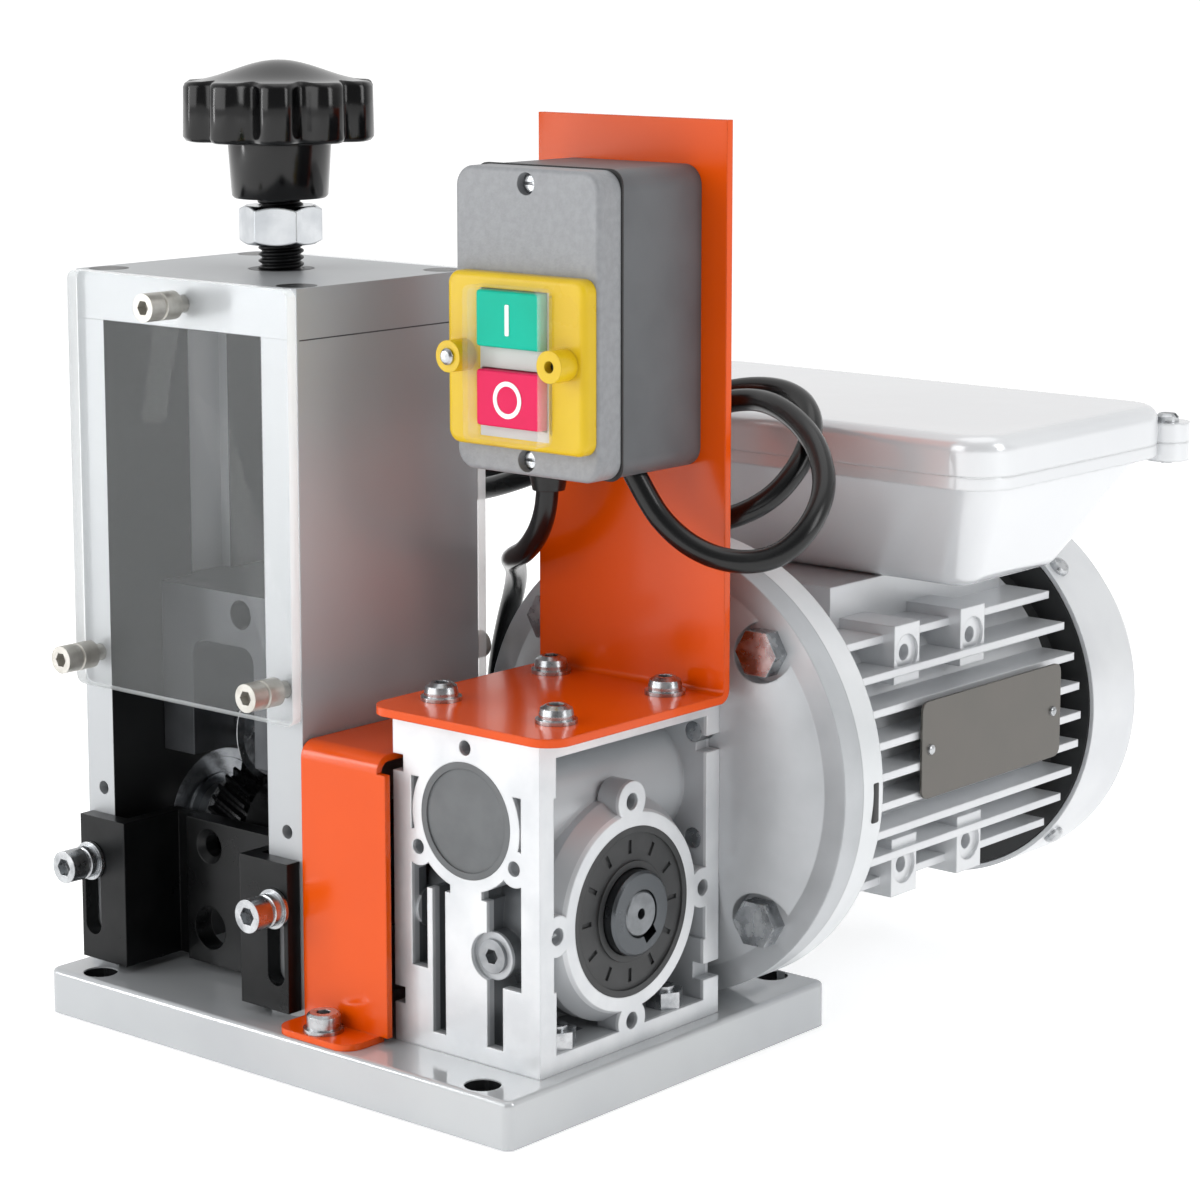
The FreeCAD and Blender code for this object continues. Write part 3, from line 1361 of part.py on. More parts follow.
frame.cut("XZ", 0, motor_length, circle(motor_bore_radius))
nut_room = big_nut_height + 2
frame.cut("XZ", 0, nut_room, *[circle(spot_radius, x, z) for x, z in flange_bolt_places])
pad_ring = dim("pad_ring", 5.7)
pad_ring_depth = dim("pad_ring_depth", 1.2)
pad_bore = dim("pad_bore", 2.5)
pad_bore_depth = dim("pad_bore_depth", 6)
pad_holes = [(along, middle) for along in (pad_first, pad_second) for middle in (-pad_height, pad_height)]
for low, high in ((pad_out - pad_ring_depth, pad_out), (-pad_out, -pad_out + pad_ring_depth)):
    frame.cut("YZ", low, high, *[circle(pad_ring, y, z) for y, z in pad_holes])
for low, high in ((pad_out - pad_bore_depth, pad_out), (-pad_out, -pad_out + pad_bore_depth)):
    frame.cut("YZ", low, high, *[circle(pad_bore, y, z) for y, z in pad_holes])

stator_start = (motor_length - stator_length) / 2
stator = piece("stator", gear_x, frame_front + stator_start, worm_z)
stator.pad("XZ", 0, stator_length, circle(motor_bore_radius - fit_gap), circle(rotor_radius + 0.6))
winding = dim("winding_reach", 9)
winding_out = dim("winding_out", 38)
winding_in = dim("winding_in", 29)
for low, high in ((-winding, as_size(0)), (stator_length, stator_length + winding)):
    stator.pad("XZ", low, high, circle(winding_out), circle(winding_in))

rotor = piece("rotor", gear_x, frame_front, worm_z)
bearing_shaft = dim("bearing_shaft", 7)
rotor_tip = shaft_y + motor_bore_start + 2 - frame_front
front_shoulder = bearing_start - motor_flange_thickness - 3
fan_start = motor_length + shield_thickness + 3
fan_hub_length = dim("fan_hub_length", 16)
rotor_end = fan_start + fan_hub_length + 2
rotor.turned("Y", [
    (rotor_tip, 0), (rotor_tip, motor_shaft_radius), (front_shoulder, motor_shaft_radius),
    (front_shoulder, bearing_shaft), (stator_start, bearing_shaft), (stator_start, rotor_radius),
    (stator_start + stator_length, rotor_radius), (stator_start + stator_length, bearing_shaft),
    (rotor_end, bearing_shaft), (rotor_end, 0),
])

# Rear shield: a disc with a bearing hub inside and a seat for the fan cover.
shield = piece("rear_shield", gear_x, frame_rear, worm_z)
cover_lap = dim("cover_lap", 2)
cover_inner = fan_cover_radius - fan_cover_wall
shield.turned("Y", [
    (-motor_bearing_width, motor_bearing_radius), (-motor_bearing_width, hub_radius),
    (-3, hub_radius), (-3, spigot), (0, spigot), (0, motor_core_radius),
    (shield_thickness - cover_lap, motor_core_radius),
    (shield_thickness - cover_lap, cover_inner - slide_gap), (shield_thickness, cover_inner - slide_gap),
    (shield_thickness, bearing_shaft + 1), (0, bearing_shaft + 1), (0, motor_bearing_radius),
])
motor_bearing = bearing(
    "motor_bearing_pattern", bearing_shaft + running_gap, motor_bearing_radius - fit_gap, motor_bearing_width
)
group(
    "motor_bearings",
    (motor_bearing, gear_x, motor_front + hub_back - motor_bearing_width / 2, worm_z, "back"),
    (motor_bearing, gear_x, frame_rear - motor_bearing_width / 2, worm_z, "back"),
)

fan = piece("fan", gear_x, frame_front + fan_start, worm_z)
fan_hub = dim("fan_hub_radius", 13)
fan_disc = dim("fan_disc", 2)
fan_blade_half = dim("fan_blade_half", 1)
fan.turned("Y", [
    (0, bearing_shaft + fit_gap), (0, fan_radius - 6), (fan_disc, fan_radius - 6), (fan_disc, fan_hub),
    (fan_hub_length, fan_hub), (fan_hub_length, bearing_shaft + fit_gap),
])
vane = fan.pad(
    "XZ", 0, fan_hub_length, rectangle(fan_hub - 1, -fan_blade_half, fan_radius, fan_blade_half)
)
fan.around(vane, "Y", 8)

# Fan cover: a thin turned shell with a step, a domed rear and twelve air slots.
fan_cover = piece("fan_cover", gear_x, frame_rear + shield_thickness - cover_lap, worm_z)
straight = fan_cover_length - fan_cover_dome
shoulder = dim("cover_shoulder", 16)
dome_flat = fan_cover_radius - shoulder
wall = fan_cover_wall
dome_rise = fan_cover_dome
dome_turn = (dome_rise * dome_rise + shoulder * shoulder) / (2 * shoulder)
fan_cover.turned("Y", [
    (0, cover_inner), (0, fan_cover_radius), (straight, fan_cover_radius),
    (straight, fan_cover_radius - 0.8), (straight + 1, fan_cover_radius - 0.8),
    (fan_cover_length - 6, fan_cover_radius - 10), (fan_cover_length, fan_cover_radius - 22),
    (fan_cover_length, 0), (fan_cover_length - wall, 0),
    (fan_cover_length - wall, fan_cover_radius - 22 - wall / 2),
    (fan_cover_length - 6 - wall, fan_cover_radius - 10 - wall), (straight + 1, cover_inner - 0.8),
    (straight, cover_inner),
])
slot_in = dim("air_slot_inner", 14)
slot_out = dim("air_slot_outer", 34)
slot_wide = dim("air_slot_half", 3)
air = fan_cover.cut(
    "XZ", fan_cover_length - wall - 1, fan_cover_length, rectangle(slot_in, -slot_wide, slot_out, slot_wide)
)
fan_cover.around(air, "Y", 12)

# Terminal box: a tub that widens upwards, a rim, a lid and two screwed ears.
box_x = gear_x - box_length / 2
box_y = frame_front + box_start
box_z = worm_z + box_seat_height


def lofted(made, low, low_outline, high, high_outline, kind="AdditiveLoft"):
    """A form that changes from one level outline to another."""
    lower = made.sketch("XY", low, [low_outline])
    upper = made.sketch("XY", high, [high_outline])
    upper.Visibility = False
    form = made.feature(kind, lower)
    form.Sections = [upper]
    return form


tub_inset = dim("tub_inset", 22)
tub_corner = dim("tub_corner", 10)
tub_fillet = dim("tub_fillet", 9)
tub = piece("terminal_box", box_x, box_y, box_z)
low_inset = tub_inset + rim_width
tub.pad(
    "XY", tub_height - rim_height, tub_height, rounded(0, 0, box_length, box_depth, box_corner)
)
ear_disc = dim("box_ear_radius", 7)
ear_out = dim("box_ear_out", 0.8)
ear_height = dim("box_ear_height", 6)
box_ears = [
    (ear_disc - 3 - ear_out, -ear_out), (box_length - ear_disc + 3 + ear_out, box_depth + ear_out)
]
for x, y in box_ears:
    tub.pad("XY", tub_height - ear_height, tub_height, circle(ear_disc, x, y))
lofted(
    tub, 0, rounded(low_inset, low_inset, box_length - low_inset, box_depth - low_inset, tub_corner),
    tub_height - 1, rounded(
        rim_width, rim_width, box_length - rim_width, box_depth - rim_width, box_corner - rim_width
    )
)
tub.fillet(tub_fillet, lambda edge: lies_at(edge, ALONG_Z, 0))
tub_floor = dim("tub_floor", 4)
wall_slope = tub_inset / tub_height
inner_low = low_inset - tub_floor * wall_slope + box_wall
lofted(
    tub, tub_floor,
    rounded(inner_low, inner_low, box_length - inner_low, box_depth - inner_low, tub_corner),
    tub_height,
    rounded(
        rim_width + box_wall, rim_width + box_wall, box_length - rim_width - box_wall,
        box_depth - rim_width - box_wall, box_corner - rim_width
    ),
    "SubtractiveLoft"
)
lid_hole = dim("lid_screw_radius", 2)
tub.cut(
    "XY", tub_height - ear_height, tub_height, *[circle(lid_hole + thread_gap, x, y) for x, y in box_ears]
)

lid = piece("terminal_lid", box_x, box_y, box_z + tub_height)
lid.pad("XY", 0, lid_height, rounded(0, 0, box_length, box_depth, box_corner))
lid_edge = dim("lid_edge", 4.5)
lid.fillet(lid_edge, lambda edge: lies_at(edge, ALONG_Z, lid_height))
lid_wall = box_wall + 1
lid.cut(
    "XY", 0, lid_height - lid_wall,
    rounded(lid_wall, lid_wall, box_length - lid_wall, box_depth - lid_wall, box_corner - lid_wall)
)
lid.pad("XY", 0, ear_height, *[circle(ear_disc, x, y) for x, y in box_ears])
lid.cut("XY", 0, ear_height, *[circle(lid_hole + thread_gap, x, y) for x, y in box_ears])

lid_head = dim("lid_head_radius", 3.6)
lid_head_height = dim("lid_head_height", 2.6)
lid_screw = Piece("lid_screw_pattern")
lid_screw.turned("Z", [
    (lid_head_height, 0), (lid_head_height, lid_head - 1), (lid_head_height - 1, lid_head),
    (0, lid_head), (0, lid_hole), (-2 * ear_height - 1, lid_hole), (-2 * ear_height - 1, 0),
])
driver_slot = dim("driver_slot_half", 0.5)
lid_screw.cut(
    "XY", lid_head_height - 1.3, lid_head_height, rectangle(-lid_head, -driver_slot, lid_head, driver_slot)
)
group("lid_screws", *[
    (lid_screw, box_x + x, box_y + y, box_z + tub_height + ear_height, "up") for x, y in box_ears
])

capacitor_radius = dim("capacitor_radius", 17)
capacitor_length = dim("capacitor_length", 70)
capacitor = piece(
    "capacitor", gear_x - capacitor_length / 2, box_y + box_depth / 2,
    box_z + tub_floor + capacitor_radius
)
capacitor.pad("YZ", 0, capacitor_length, circle(capacitor_radius))
capacitor.fillet(2, lambda edge: lies_at(edge, ALONG_X, 0) or lies_at(edge, ALONG_X, capacitor_length))

# Switch bracket: one bent sheet bolted on top of the gearbox.
bracket_left = -bracket_width / 2 + dim("bracket_shift", 1.2)
bracket_right = bracket_left + bracket_width
bracket_rear = bracket_face + bracket_sheet
bracket_tip = -half_y - bracket_front
bracket = piece("switch_bracket", gear_x, shaft_y, gear_top)
inner_bend = bracket_bend - bracket_sheet
bracket.pad("YZ", bracket_left, bracket_right, [
    (bracket_rear - bracket_bend, 0),
    (bracket_rear, bracket_bend, bracket_rear - bracket_bend, bracket_bend, "left"),
    (bracket_rear, bracket_height),
    (bracket_face, bracket_height),
    (bracket_face, bracket_bend),
    (bracket_face - inner_bend, bracket_sheet, bracket_face - inner_bend, bracket_bend, "right"),
    (bracket_tip, bracket_sheet),
    (bracket_tip, 0),
])
bracket_corner = dim("bracket_corner", 8)
bracket.fillet(
    bracket_corner,
    lambda edge: runs_along(edge, ALONG_Z) and lies_at(edge, ALONG_Y, bracket_tip)
)
bracket.cut("XY", 0, bracket_sheet, *[circle(screw_hole, x, y) for x, y in bolt_places])
bracket_reach = bracket_sheet + gear_plate + 2
bracket_bolt = Piece("bracket_bolt_pattern")
bracket_bolt.turned("Z", [
    (4, 0), (4, 3), (3, 4.6), (1.2, 5), (0, 5), (0, m6_radius), (-bracket_reach, m6_radius),
    (-bracket_reach, 0),
])
bracket_bolt.cut("XY", 4 - socket_depth + 0.6, 4, hexagon(socket_flats))
group("bracket_fixings", *[
    (pattern, gear_x + x, shaft_y + y, gear_top + bracket_sheet + lift, "up")
    for x, y in bolt_places
    for pattern, lift in ((washer, as_size(0)), (bracket_bolt, washer_thickness))
])

# Coupling guard: a bent sheet over the shaft between tower and gearbox.
guard_clear = dim("guard_clear", 0.8)
guard_width = gearbox_gap - 2 * guard_clear
guard = piece("coupling_guard", tower_right + guard_clear, shaft_y, deck)
guard_front = tower_front - guard_stand - shaft_y
guard_inner = guard_bend - guard_sheet
guard_tip = guard_front - guard_flange
guard_outer_z = guard_height
guard.pad("YZ", 0, guard_width, [
    (guard_tip, 0),
    (guard_front + guard_sheet, 0),
    (guard_front + guard_sheet, guard_outer_z - guard_bend),
    (guard_front + guard_bend, guard_outer_z - guard_sheet,
     guard_front + guard_bend, guard_outer_z - guard_bend, "right"),
    (guard_rear - guard_bend, guard_outer_z - guard_sheet),
    (guard_rear - guard_sheet, guard_outer_z - guard_bend,
     guard_rear - guard_bend, guard_outer_z - guard_bend, "right"),
    (guard_rear - guard_sheet, 0),
    (guard_rear + guard_rear_flange, 0),
    (guard_rear + guard_rear_flange, guard_sheet),
    (guard_rear, guard_sheet),
    (guard_rear, guard_outer_z - guard_bend),
    (guard_rear - guard_bend, guard_outer_z,
     guard_rear - guard_bend, guard_outer_z - guard_bend, "left"),
    (guard_front + guard_bend, guard_outer_z),
    (guard_front, guard_outer_z - guard_bend,
     guard_front + guard_bend, guard_outer_z - guard_bend, "left"),
    (guard_front, guard_sheet),
    (guard_tip, guard_sheet),
])
guard.pad(
    "XZ", guard_front, guard_front + guard_sheet,
    rectangle(guard_width - 1, guard_sheet, guard_width + guard_clear + guard_lap, guard_outer_z - guard_bend)
)
guard_corner = dim("guard_corner", 6)
guard.fillet(
    guard_corner,
    lambda edge: runs_along(edge, ALONG_Z)
    and (lies_at(edge, ALONG_Y, guard_tip) or lies_at(edge, ALONG_Y, guard_rear + guard_rear_flange))
)
guard_holes = [(x - tower_right - guard_clear, y - shaft_y) for x, y in guard_screws]
guard.cut("XY", 0, guard_sheet, *[circle(screw_hole, x, y) for x, y in guard_holes])
guard_bolt_reach = guard_sheet + washer_thickness + guard_screw_depth - 1
guard_bolt = Piece("guard_bolt_pattern")
guard_bolt.turned("Z", [
    (4.5, 0), (4.5, 4.2), (3.7, 5), (0, 5), (0, m6_radius), (-guard_bolt_reach, m6_radius),
    (-guard_bolt_reach, 0),
])
guard_bolt.cut("XY", 4.5 - socket_depth + 0.5, 4.5, hexagon(socket_flats))
group("guard_fixings", *[
    (pattern, x, y, deck + guard_sheet + lift, "up")
    for x, y in guard_screws
    for pattern, lift in ((washer, as_size(0)), (guard_bolt, washer_thickness))
])

# Switch: a box on the bracket, a cover with a button window, a yellow frame with two lug
# posts, two buttons with stems in a contact block, and a clear film over the buttons.
switch_z = gear_top + switch_lift
switch_y = shaft_y + bracket_face
switch_x = gear_x + dim("switch_shift", 0.5)
half_switch = switch_width / 2
cover_end = switch_depth + switch_cover_depth
switch_box = piece("switch_box", switch_x, switch_y, switch_z)
switch_box.pad(
    "XZ", -switch_depth, 0, rounded(-half_switch, 0, half_switch, switch_height, switch_corner)
)
inside_corner = switch_corner - switch_wall
switch_box.cut("XZ", -switch_depth, -switch_wall, rounded(
    switch_wall - half_switch, switch_wall, half_switch - switch_wall,
    switch_height - switch_wall, inside_corner
))
boss_half = dim("switch_boss_half", 4.5)
boss_rise = dim("switch_boss_rise", 8)
boss_depth = dim("switch_boss_depth", 16)
switch_screw_z = dim("switch_screw_inset", 4.3)
switch_screw_hole = dim("switch_screw_radius", 1.8)
switch_box.pad(
    "XZ", -switch_depth, -switch_depth + boss_depth,
    rectangle(-boss_half, switch_wall - 1, boss_half, boss_rise),
    rectangle(-boss_half, switch_height - boss_rise, boss_half, switch_height - switch_wall + 1)
)
switch_screws = [(as_size(0), switch_screw_z), (as_size(0), switch_height - switch_screw_z)]
switch_box.cut(
    "XZ", -switch_depth, -switch_depth + boss_depth - 2,
    *[circle(switch_screw_hole + thread_gap, x, z) for x, z in switch_screws]
)

switch_cover = piece("switch_cover", switch_x, switch_y, switch_z)
switch_cover.pad(
    "XZ", -cover_end, -switch_depth, rounded(-half_switch, 0, half_switch, switch_height, switch_corner)
)
face_edge = dim("cover_face_edge", 1.5)
switch_cover.fillet(face_edge, lambda edge: lies_at(edge, ALONG_Y, -cover_end))
cover_face = -cover_end + switch_wall
switch_cover.cut("XZ", cover_face, -switch_depth, rounded(
    switch_wall - half_switch, boss_rise + 1, half_switch - switch_wall,
    switch_height - boss_rise - 1, inside_corner
))
frame_high = frame_low + frame_height
half_frame = frame_width / 2
half_button = button_width / 2
red_low = frame_low + button_gap
red_high = red_low + button_rise
green_low = red_high + button_gap
green_high = green_low + button_rise
window_margin = dim("window_margin", 1.5)
switch_cover.cut("XZ", -cover_end, cover_face, rectangle(
    -half_button - window_margin, red_low - window_margin,
    half_button + window_margin, green_high + window_margin
))
switch_head = dim("switch_head_radius", 3.1)
switch_cover.cut(
    "XZ", -cover_end, -switch_depth,
    *[circle(switch_screw_hole + thread_gap, x, z) for x, z in switch_screws]
)
head_sink = dim("switch_head_sink", 4)
switch_cover.cut(
    "XZ", -cover_end, -cover_end + head_sink,
    *[circle(switch_head + thread_gap, x, z) for x, z in switch_screws]
)
switch_screw = Piece("switch_screw_pattern")
switch_reach = switch_cover_depth - head_sink + boss_depth - 4
switch_screw.turned("Z", [
    (2, 0), (2, 2.2), (1.4, switch_head), (0, switch_head), (0, switch_screw_hole),
    (-switch_reach, switch_screw_hole), (-switch_reach, 0),
])
switch_screw.cut("XY", 1, 2, rectangle(-switch_head, -0.4, switch_head, 0.4))
group("switch_cover_screws", *[
    (switch_screw, switch_x + x, switch_y - cover_end + head_sink, switch_z + z, "front")
    for x, z in switch_screws
])

switch_frame = piece("switch_frame", switch_x, switch_y - cover_end, switch_z)
frame_corner = dim("frame_corner", 4)
switch_frame.pad(
    "XZ", -frame_depth, 0, rounded(-half_frame, frame_low, half_frame, frame_high, frame_corner)
)
frame_edge = dim("frame_edge", 2)
switch_frame.fillet(frame_edge, lambda edge: lies_at(edge, ALONG_Y, -frame_depth))
lug_x = dim("lug_x", 19)
lug_radius = dim("lug_radius", 4.6)
lug_reach = dim("lug_reach", 12)
lug_z = (red_high + green_low) / 2
switch_frame.pad(
    "XZ", -lug_reach, -1, circle(lug_radius, -lug_x, lug_z), circle(lug_radius, lug_x, lug_z)
)
switch_frame.cut("XZ", -frame_depth, 0, *[
    rectangle(-half_button - slide_gap, low - slide_gap, half_button + slide_gap, high + slide_gap)
    for low, high in ((red_low, red_high), (green_low, green_high))
])
lug_bore = dim("lug_bore", 1.7)
switch_frame.cut(
    "XZ", -lug_reach, -lug_reach + 6, circle(lug_bore, -lug_x, lug_z), circle(lug_bore, lug_x, lug_z)
)

film = piece("button_film", switch_x, switch_y - cover_end - frame_depth, switch_z)
film_half = lug_x - lug_radius - slide_gap
film_low = dim("film_low", 10)
film_high = dim("film_high", 54.5)
film_corner = dim("film_corner", 2.5)
film.pad("XZ", -film_depth, 0, rounded(-film_half, film_low, film_half, film_high, film_corner))
film.cut("XZ", -film_depth + film_wall, 0, rounded(
    -film_half + film_wall, film_low + film_wall, film_half - film_wall, film_high - film_wall,
    film_corner - film_wall
))

block_depth = dim("block_depth", 29)
block_half = dim("block_half", 20)
stem_radius = dim("stem_radius", 3)
stem_reach = dim("stem_reach", 12)
button_depth = dim("button_depth", 15)
button_rear = button_depth - button_proud - frame_depth
block_low = dim("block_low", 12)
block_top = dim("block_top", 56)
block = piece("switch_block", switch_x, switch_y - switch_wall, switch_z)
block.pad("XZ", -block_depth, 0, rectangle(-block_half, block_low, block_half, block_top))
button_middles = [(red_low + red_high) / 2, (green_low + green_high) / 2]
block.cut("XZ", -block_depth, -block_depth + stem_reach, *[
    circle(stem_radius + slide_gap, 0, middle) for middle in button_middles
])
for name, low, high in (("red_button", red_low, red_high), ("green_button", green_low, green_high)):
    button = piece(name, switch_x, switch_y - cover_end - frame_depth, switch_z)
    front = -button_proud + frame_depth
    button.pad("XZ", front, front + button_depth, rounded(-half_button, low, half_button, high, as_size(1)))
    button.fillet(0.8, lambda edge: lies_at(edge, ALONG_Y, front))
    stem_end = cover_end + frame_depth - switch_wall - block_depth + stem_reach - button_travel - 1
    button.pad(
        "XZ", front + button_depth, stem_end, circle(stem_radius, 0, (low + high) / 2)
    )

# Cords: round tubes on straight runs joined by tangent arcs, with boots where they enter
# the boxes. The mains cord ends in a coil on the floor behind the base, its plug beside it.
cord_radius = dim("cord_radius", 3.4)
cord_pitch = dim("cord_pitch", 7.3)
cord_lift = dim("cord_lift", 0.1)
boot_length = dim("boot_length", 9)
boot_tip = dim("boot_tip_radius", 4.8)
boot_root = dim("boot_root_radius", 6.2)
boot_collar = dim("boot_collar_radius", 7.6)
boot_neck = dim("boot_neck", 5.5)
boot_inside = dim("boot_inside", 11)
boot_bore = cord_radius + slide_gap
lead_x = dim("lead_exit_x", 17.3)
lead_y = dim("lead_exit_y", -19.7)
lead_hole = dim("lead_hole_radius", 5.6)
mains_x = dim("mains_exit_x", -16)
mains_y = dim("mains_exit_y", -17.3)
gland_x = dim("gland_x", 8)
gland_y = dim("gland_y", 34.5)
gland_z = dim("gland_z", 17)
gland_boss = dim("gland_boss_radius", 9.5)
gland_boss_length = dim("gland_boss_length", 12)
coil_x = dim("coil_x", -3.5)
coil_y = dim("coil_y", 136)
coil_radius = dim("coil_radius", 44.5)
coil_tail = dim("coil_tail", 54)
coil_halves = 10
climbing_half = 5


def cord_arc(start, heading, end):
    """The arc that leaves a point along a heading and reaches another point."""
    chord = end - start
    across = chord - heading * chord.dot(heading)
    centre = start + across * (chord.dot(chord) / (2 * across.dot(across)))
    out = ((start - centre) + (end - centre)).normalize()
    return Part.Arc(start, centre + out * (start - centre).Length, end).toShape()


def bent_path(corners):
    """Straight runs through corners, each corner rounded by a tangent arc."""
    corners = [Vector(*corner) for corner in corners]
    edges = []
    bends = []
    at = corners[0]
    for before, corner, after in zip(corners, corners[1:], corners[2:]):
        back = before - corner
        ahead = after - corner
        reach = 0.45 * min(back.Length, ahead.Length)
        turn = math.pi - back.getAngle(ahead)
        bends.append((reach / math.tan(turn / 2), math.degrees(turn)))
        start = corner + back.normalize() * reach
        end = corner + ahead.normalize() * reach
        edges.append(Part.makeLine(at, start))
        edges.append(cord_arc(start, back * -1, end))
        at = end
    edges.append(Part.makeLine(at, corners[-1]))
    print("bends", len(bends), "least radius %.1f" % min(radius for radius, turn in bends),
          "sharpest turn %.0f" % max(turn for radius, turn in bends))
    return edges


def coil_path():
    """Half turns that spiral in on the floor, climb a pitch and spiral out, then a tail."""
    edges = []
    at = Vector(number(coil_x), number(coil_y), number(cord_radius + cord_lift))
    radius = number(coil_radius)
    side = 1
    for half in range(coil_halves):
        climb = number(cord_pitch) if half == climbing_half else 0
        end = at + Vector(-2 * side * radius, 0, climb)
        middle = (at + end) * 0.5 + Vector(0, side * (end - at).Length / 2, 0)
        edges.append(Part.Arc(at, middle, end).toShape())
        at = end
        side = -side
        radius += number(cord_pitch) / 2 * (1 if half >= climbing_half else -1)
    edges.append(Part.makeLine(at, at + Vector(0, number(coil_tail), 0)))
    return edges


def least_gap(edges):
    """The least gap between stretches of a tube more than a quarter turn apart, on points."""
    points = []
    for edge in edges:
        points.extend(edge.discretize(Distance=2)[:-1])
    apart = 30
    nearest = min(
        (points[later] - points[place]).Length
        for place in range(len(points))
        for later in range(place + apart, len(points))
    )
    return nearest - 2 * number(cord_radius)


def tube(name, edges):
    """A round cord along a path of tangent edges."""
    path = Part.Wire(edges)
    first = edges[0]
    start = first.valueAt(first.FirstParameter)
    heading = first.tangentAt(first.FirstParameter)
    section = Part.Wire(Part.makeCircle(number(cord_radius), start, heading))
    shell = Part.BRepOffsetAPI.MakePipeShell(path)
    shell.add(section)
    shell.build()
    shell.makeSolid()
    cord = doc.addObject("Part::Feature", name)
    cord.Label = name
    cord.Shape = shell.shape()
    cord.Placement = FreeCAD.Placement()
    nodes.append(cord)
    swept = math.pi * number(cord_radius) ** 2 * path.Length
    print(name, "length %.0f" % path.Length, "volume ratio %.4f" % (cord.Shape.Volume / swept),
          "least gap %.2f" % least_gap(edges))
    return cord


def from_place(place, *steps):
    """Route points given as steps from one place."""
    return [tuple(number(a) + b for a, b in zip(place, step)) for step in steps]


lead_place = (switch_x + lead_x, switch_y + lead_y, switch_z)
mains_place = (switch_x + mains_x, switch_y + mains_y, switch_z)
box_place = (box_x + gland_x, box_y + gland_y, box_z + gland_z)
coil_place = (coil_x, coil_y, cord_radius + cord_lift)
switch_box.cut(
    "XY", 0, switch_corner, circle(lead_hole, lead_x, lead_y),
    circle(boot_neck + slide_gap, mains_x, mains_y)
)
tub.pad("YZ", gland_x, gland_x + gland_boss_length, circle(gland_boss, gland_y, gland_z))
tub.cut("YZ", gland_x, gland_x + gland_boss_length + 2, circle(boot_neck + slide_gap, gland_y, gland_z))
boot = Piece("boot_pattern")
boot.turned("Z", [
    (-boot_inside, boot_bore), (-boot_inside, boot_neck), (0, boot_neck), (0, boot_collar),
    (2, boot_collar), (2, boot_root), (boot_length, boot_tip), (boot_length, boot_bore),
])
group("cable_glands", (boot, *mains_place, "down"), (boot, *box_place, "left"))

# The lead from the switch to the motor makes one loose loop and a half, then runs left and
# round into the terminal box.
motor_lead = tube("motor_lead", bent_path(from_place(
    lead_place,
    (-3.3, -0.8, 7.5), (2.7, 0.7, -3.5), (9.5, 2.7, -14.2), (19.7, 6.3, -20.9),
    (32, 11.4, -21.7), (43, 17.3, -16.3), (48.5, 25.7, -6.5), (46.5, 35.7, 4),
    (38.2, 44.2, 12.5), (25.7, 50.5, 18.3), (12.2, 55.5, 21.3), (-0.3, 59.6, 21.3),
    (-12.6, 58.6, 18.5), (-21.8, 53.7, 11.5), (-25.6, 46.7, 1.7), (-22.6, 39.3, -8.6),
    (-13.6, 33.8, -16.3), (-1.5, 31.5, -19.2), (11.2, 33.5, -16.7), (21, 39.2, -10),
    (25.1, 47, -0.2), (23.8, 56.2, 9.3), (16.2, 64.2, 16.5), (3.7, 69.7, 20.5),
    (-11.3, 70.7, 20), (-26.8, 67.2, 15.5), (-43.3, 61.2, 7), (-58.3, 56.2, -2),
    (-72.8, 52.7, -10.5), (-87.8, 51, -17.5),
) + from_place(
    box_place,
    (-5, -57.7, 3.7), (-19.5, -54, 1), (-32.5, -49.7, 0.2), (-44, -43.2, 0), (-50.8, -32, 0),
    (-51, -18.5, 0), (-44.5, -7, 0), (-33.5, -0.5, 0), (-20.5, 0.3, 0), (-6.5, 0, 0),
    (7.5, 0, 0),
)))

# The mains cord drops from the switch, passes behind the tower and lies down to the coil.
mains_cord = tube("mains_cord", bent_path(from_place(
    mains_place,
    (0, 0, 6.5), (0, 0, -10.5), (-3, 0.8, -26.5), (-13, 3.8, -38), (-25.5, 10.3, -41.5),
    (-34.5, 21.8, -40), (-42.5, 33.3, -41.5), (-51.5, 42.8, -49.5), (-59, 46.8, -62.5),
    (-64.5, 48.8, -79), (-68, 51.3, -97),
) + from_place(
    coil_place,
    (-19, -80.5, 60.5), (-17.8, -74.5, 43), (-14, -64, 28), (-9, -52, 16), (-5, -39, 7.3),
    (-1.8, -26.5, 1.8), (0, -13, 0), (0, 0, 0),
)))
mains_coil = tube("mains_coil", coil_path())

# Plug: a moulded body with a boot over the cord's end, two flat blades and an earth pin.
plug_width = dim("plug_width", 26)
plug_length = dim("plug_length", 38)
plug_corner = dim("plug_corner", 6)
plug_boot = dim("plug_boot", 14)
plug_edge = dim("plug_edge", 3)
plug_boot_root = dim("plug_boot_root_radius", 7)
pin_length = dim("pin_length", 18)
blade_half = dim("pin_blade_half", 0.8)
blade_rise = dim("pin_blade_rise", 6.3)
blade_apart = dim("pin_blade_apart", 6.35)
earth_radius = dim("earth_pin_radius", 2.4)
earth_drop = dim("earth_pin_drop", 4.5)
plug_level = cord_radius + cord_lift + cord_pitch
plug_x = coil_x - cord_pitch
plug_y = coil_y + coil_tail + 2
plug = piece("plug", plug_x, plug_y, plug_level)
plug.pad("XZ", 0, plug_length, rounded(
    -plug_width / 2, -plug_level, plug_width / 2, plug_level, plug_corner
))
plug.fillet(plug_edge, lambda edge: lies_at(edge, ALONG_Y, 0) or lies_at(edge, ALONG_Y, plug_length))
plug.turned("Y", [
    (-plug_boot, 0), (-plug_boot, boot_tip), (plug_edge, plug_boot_root), (plug_edge, 0)
])
plug.cut("XZ", -plug_boot, 0, circle(boot_bore))
for side in (-1, 1):
    plug.pad("XZ", plug_length - 1, plug_length + pin_length, rectangle(
        side * blade_apart - blade_half, 0, side * blade_apart + blade_half, blade_rise
    ))
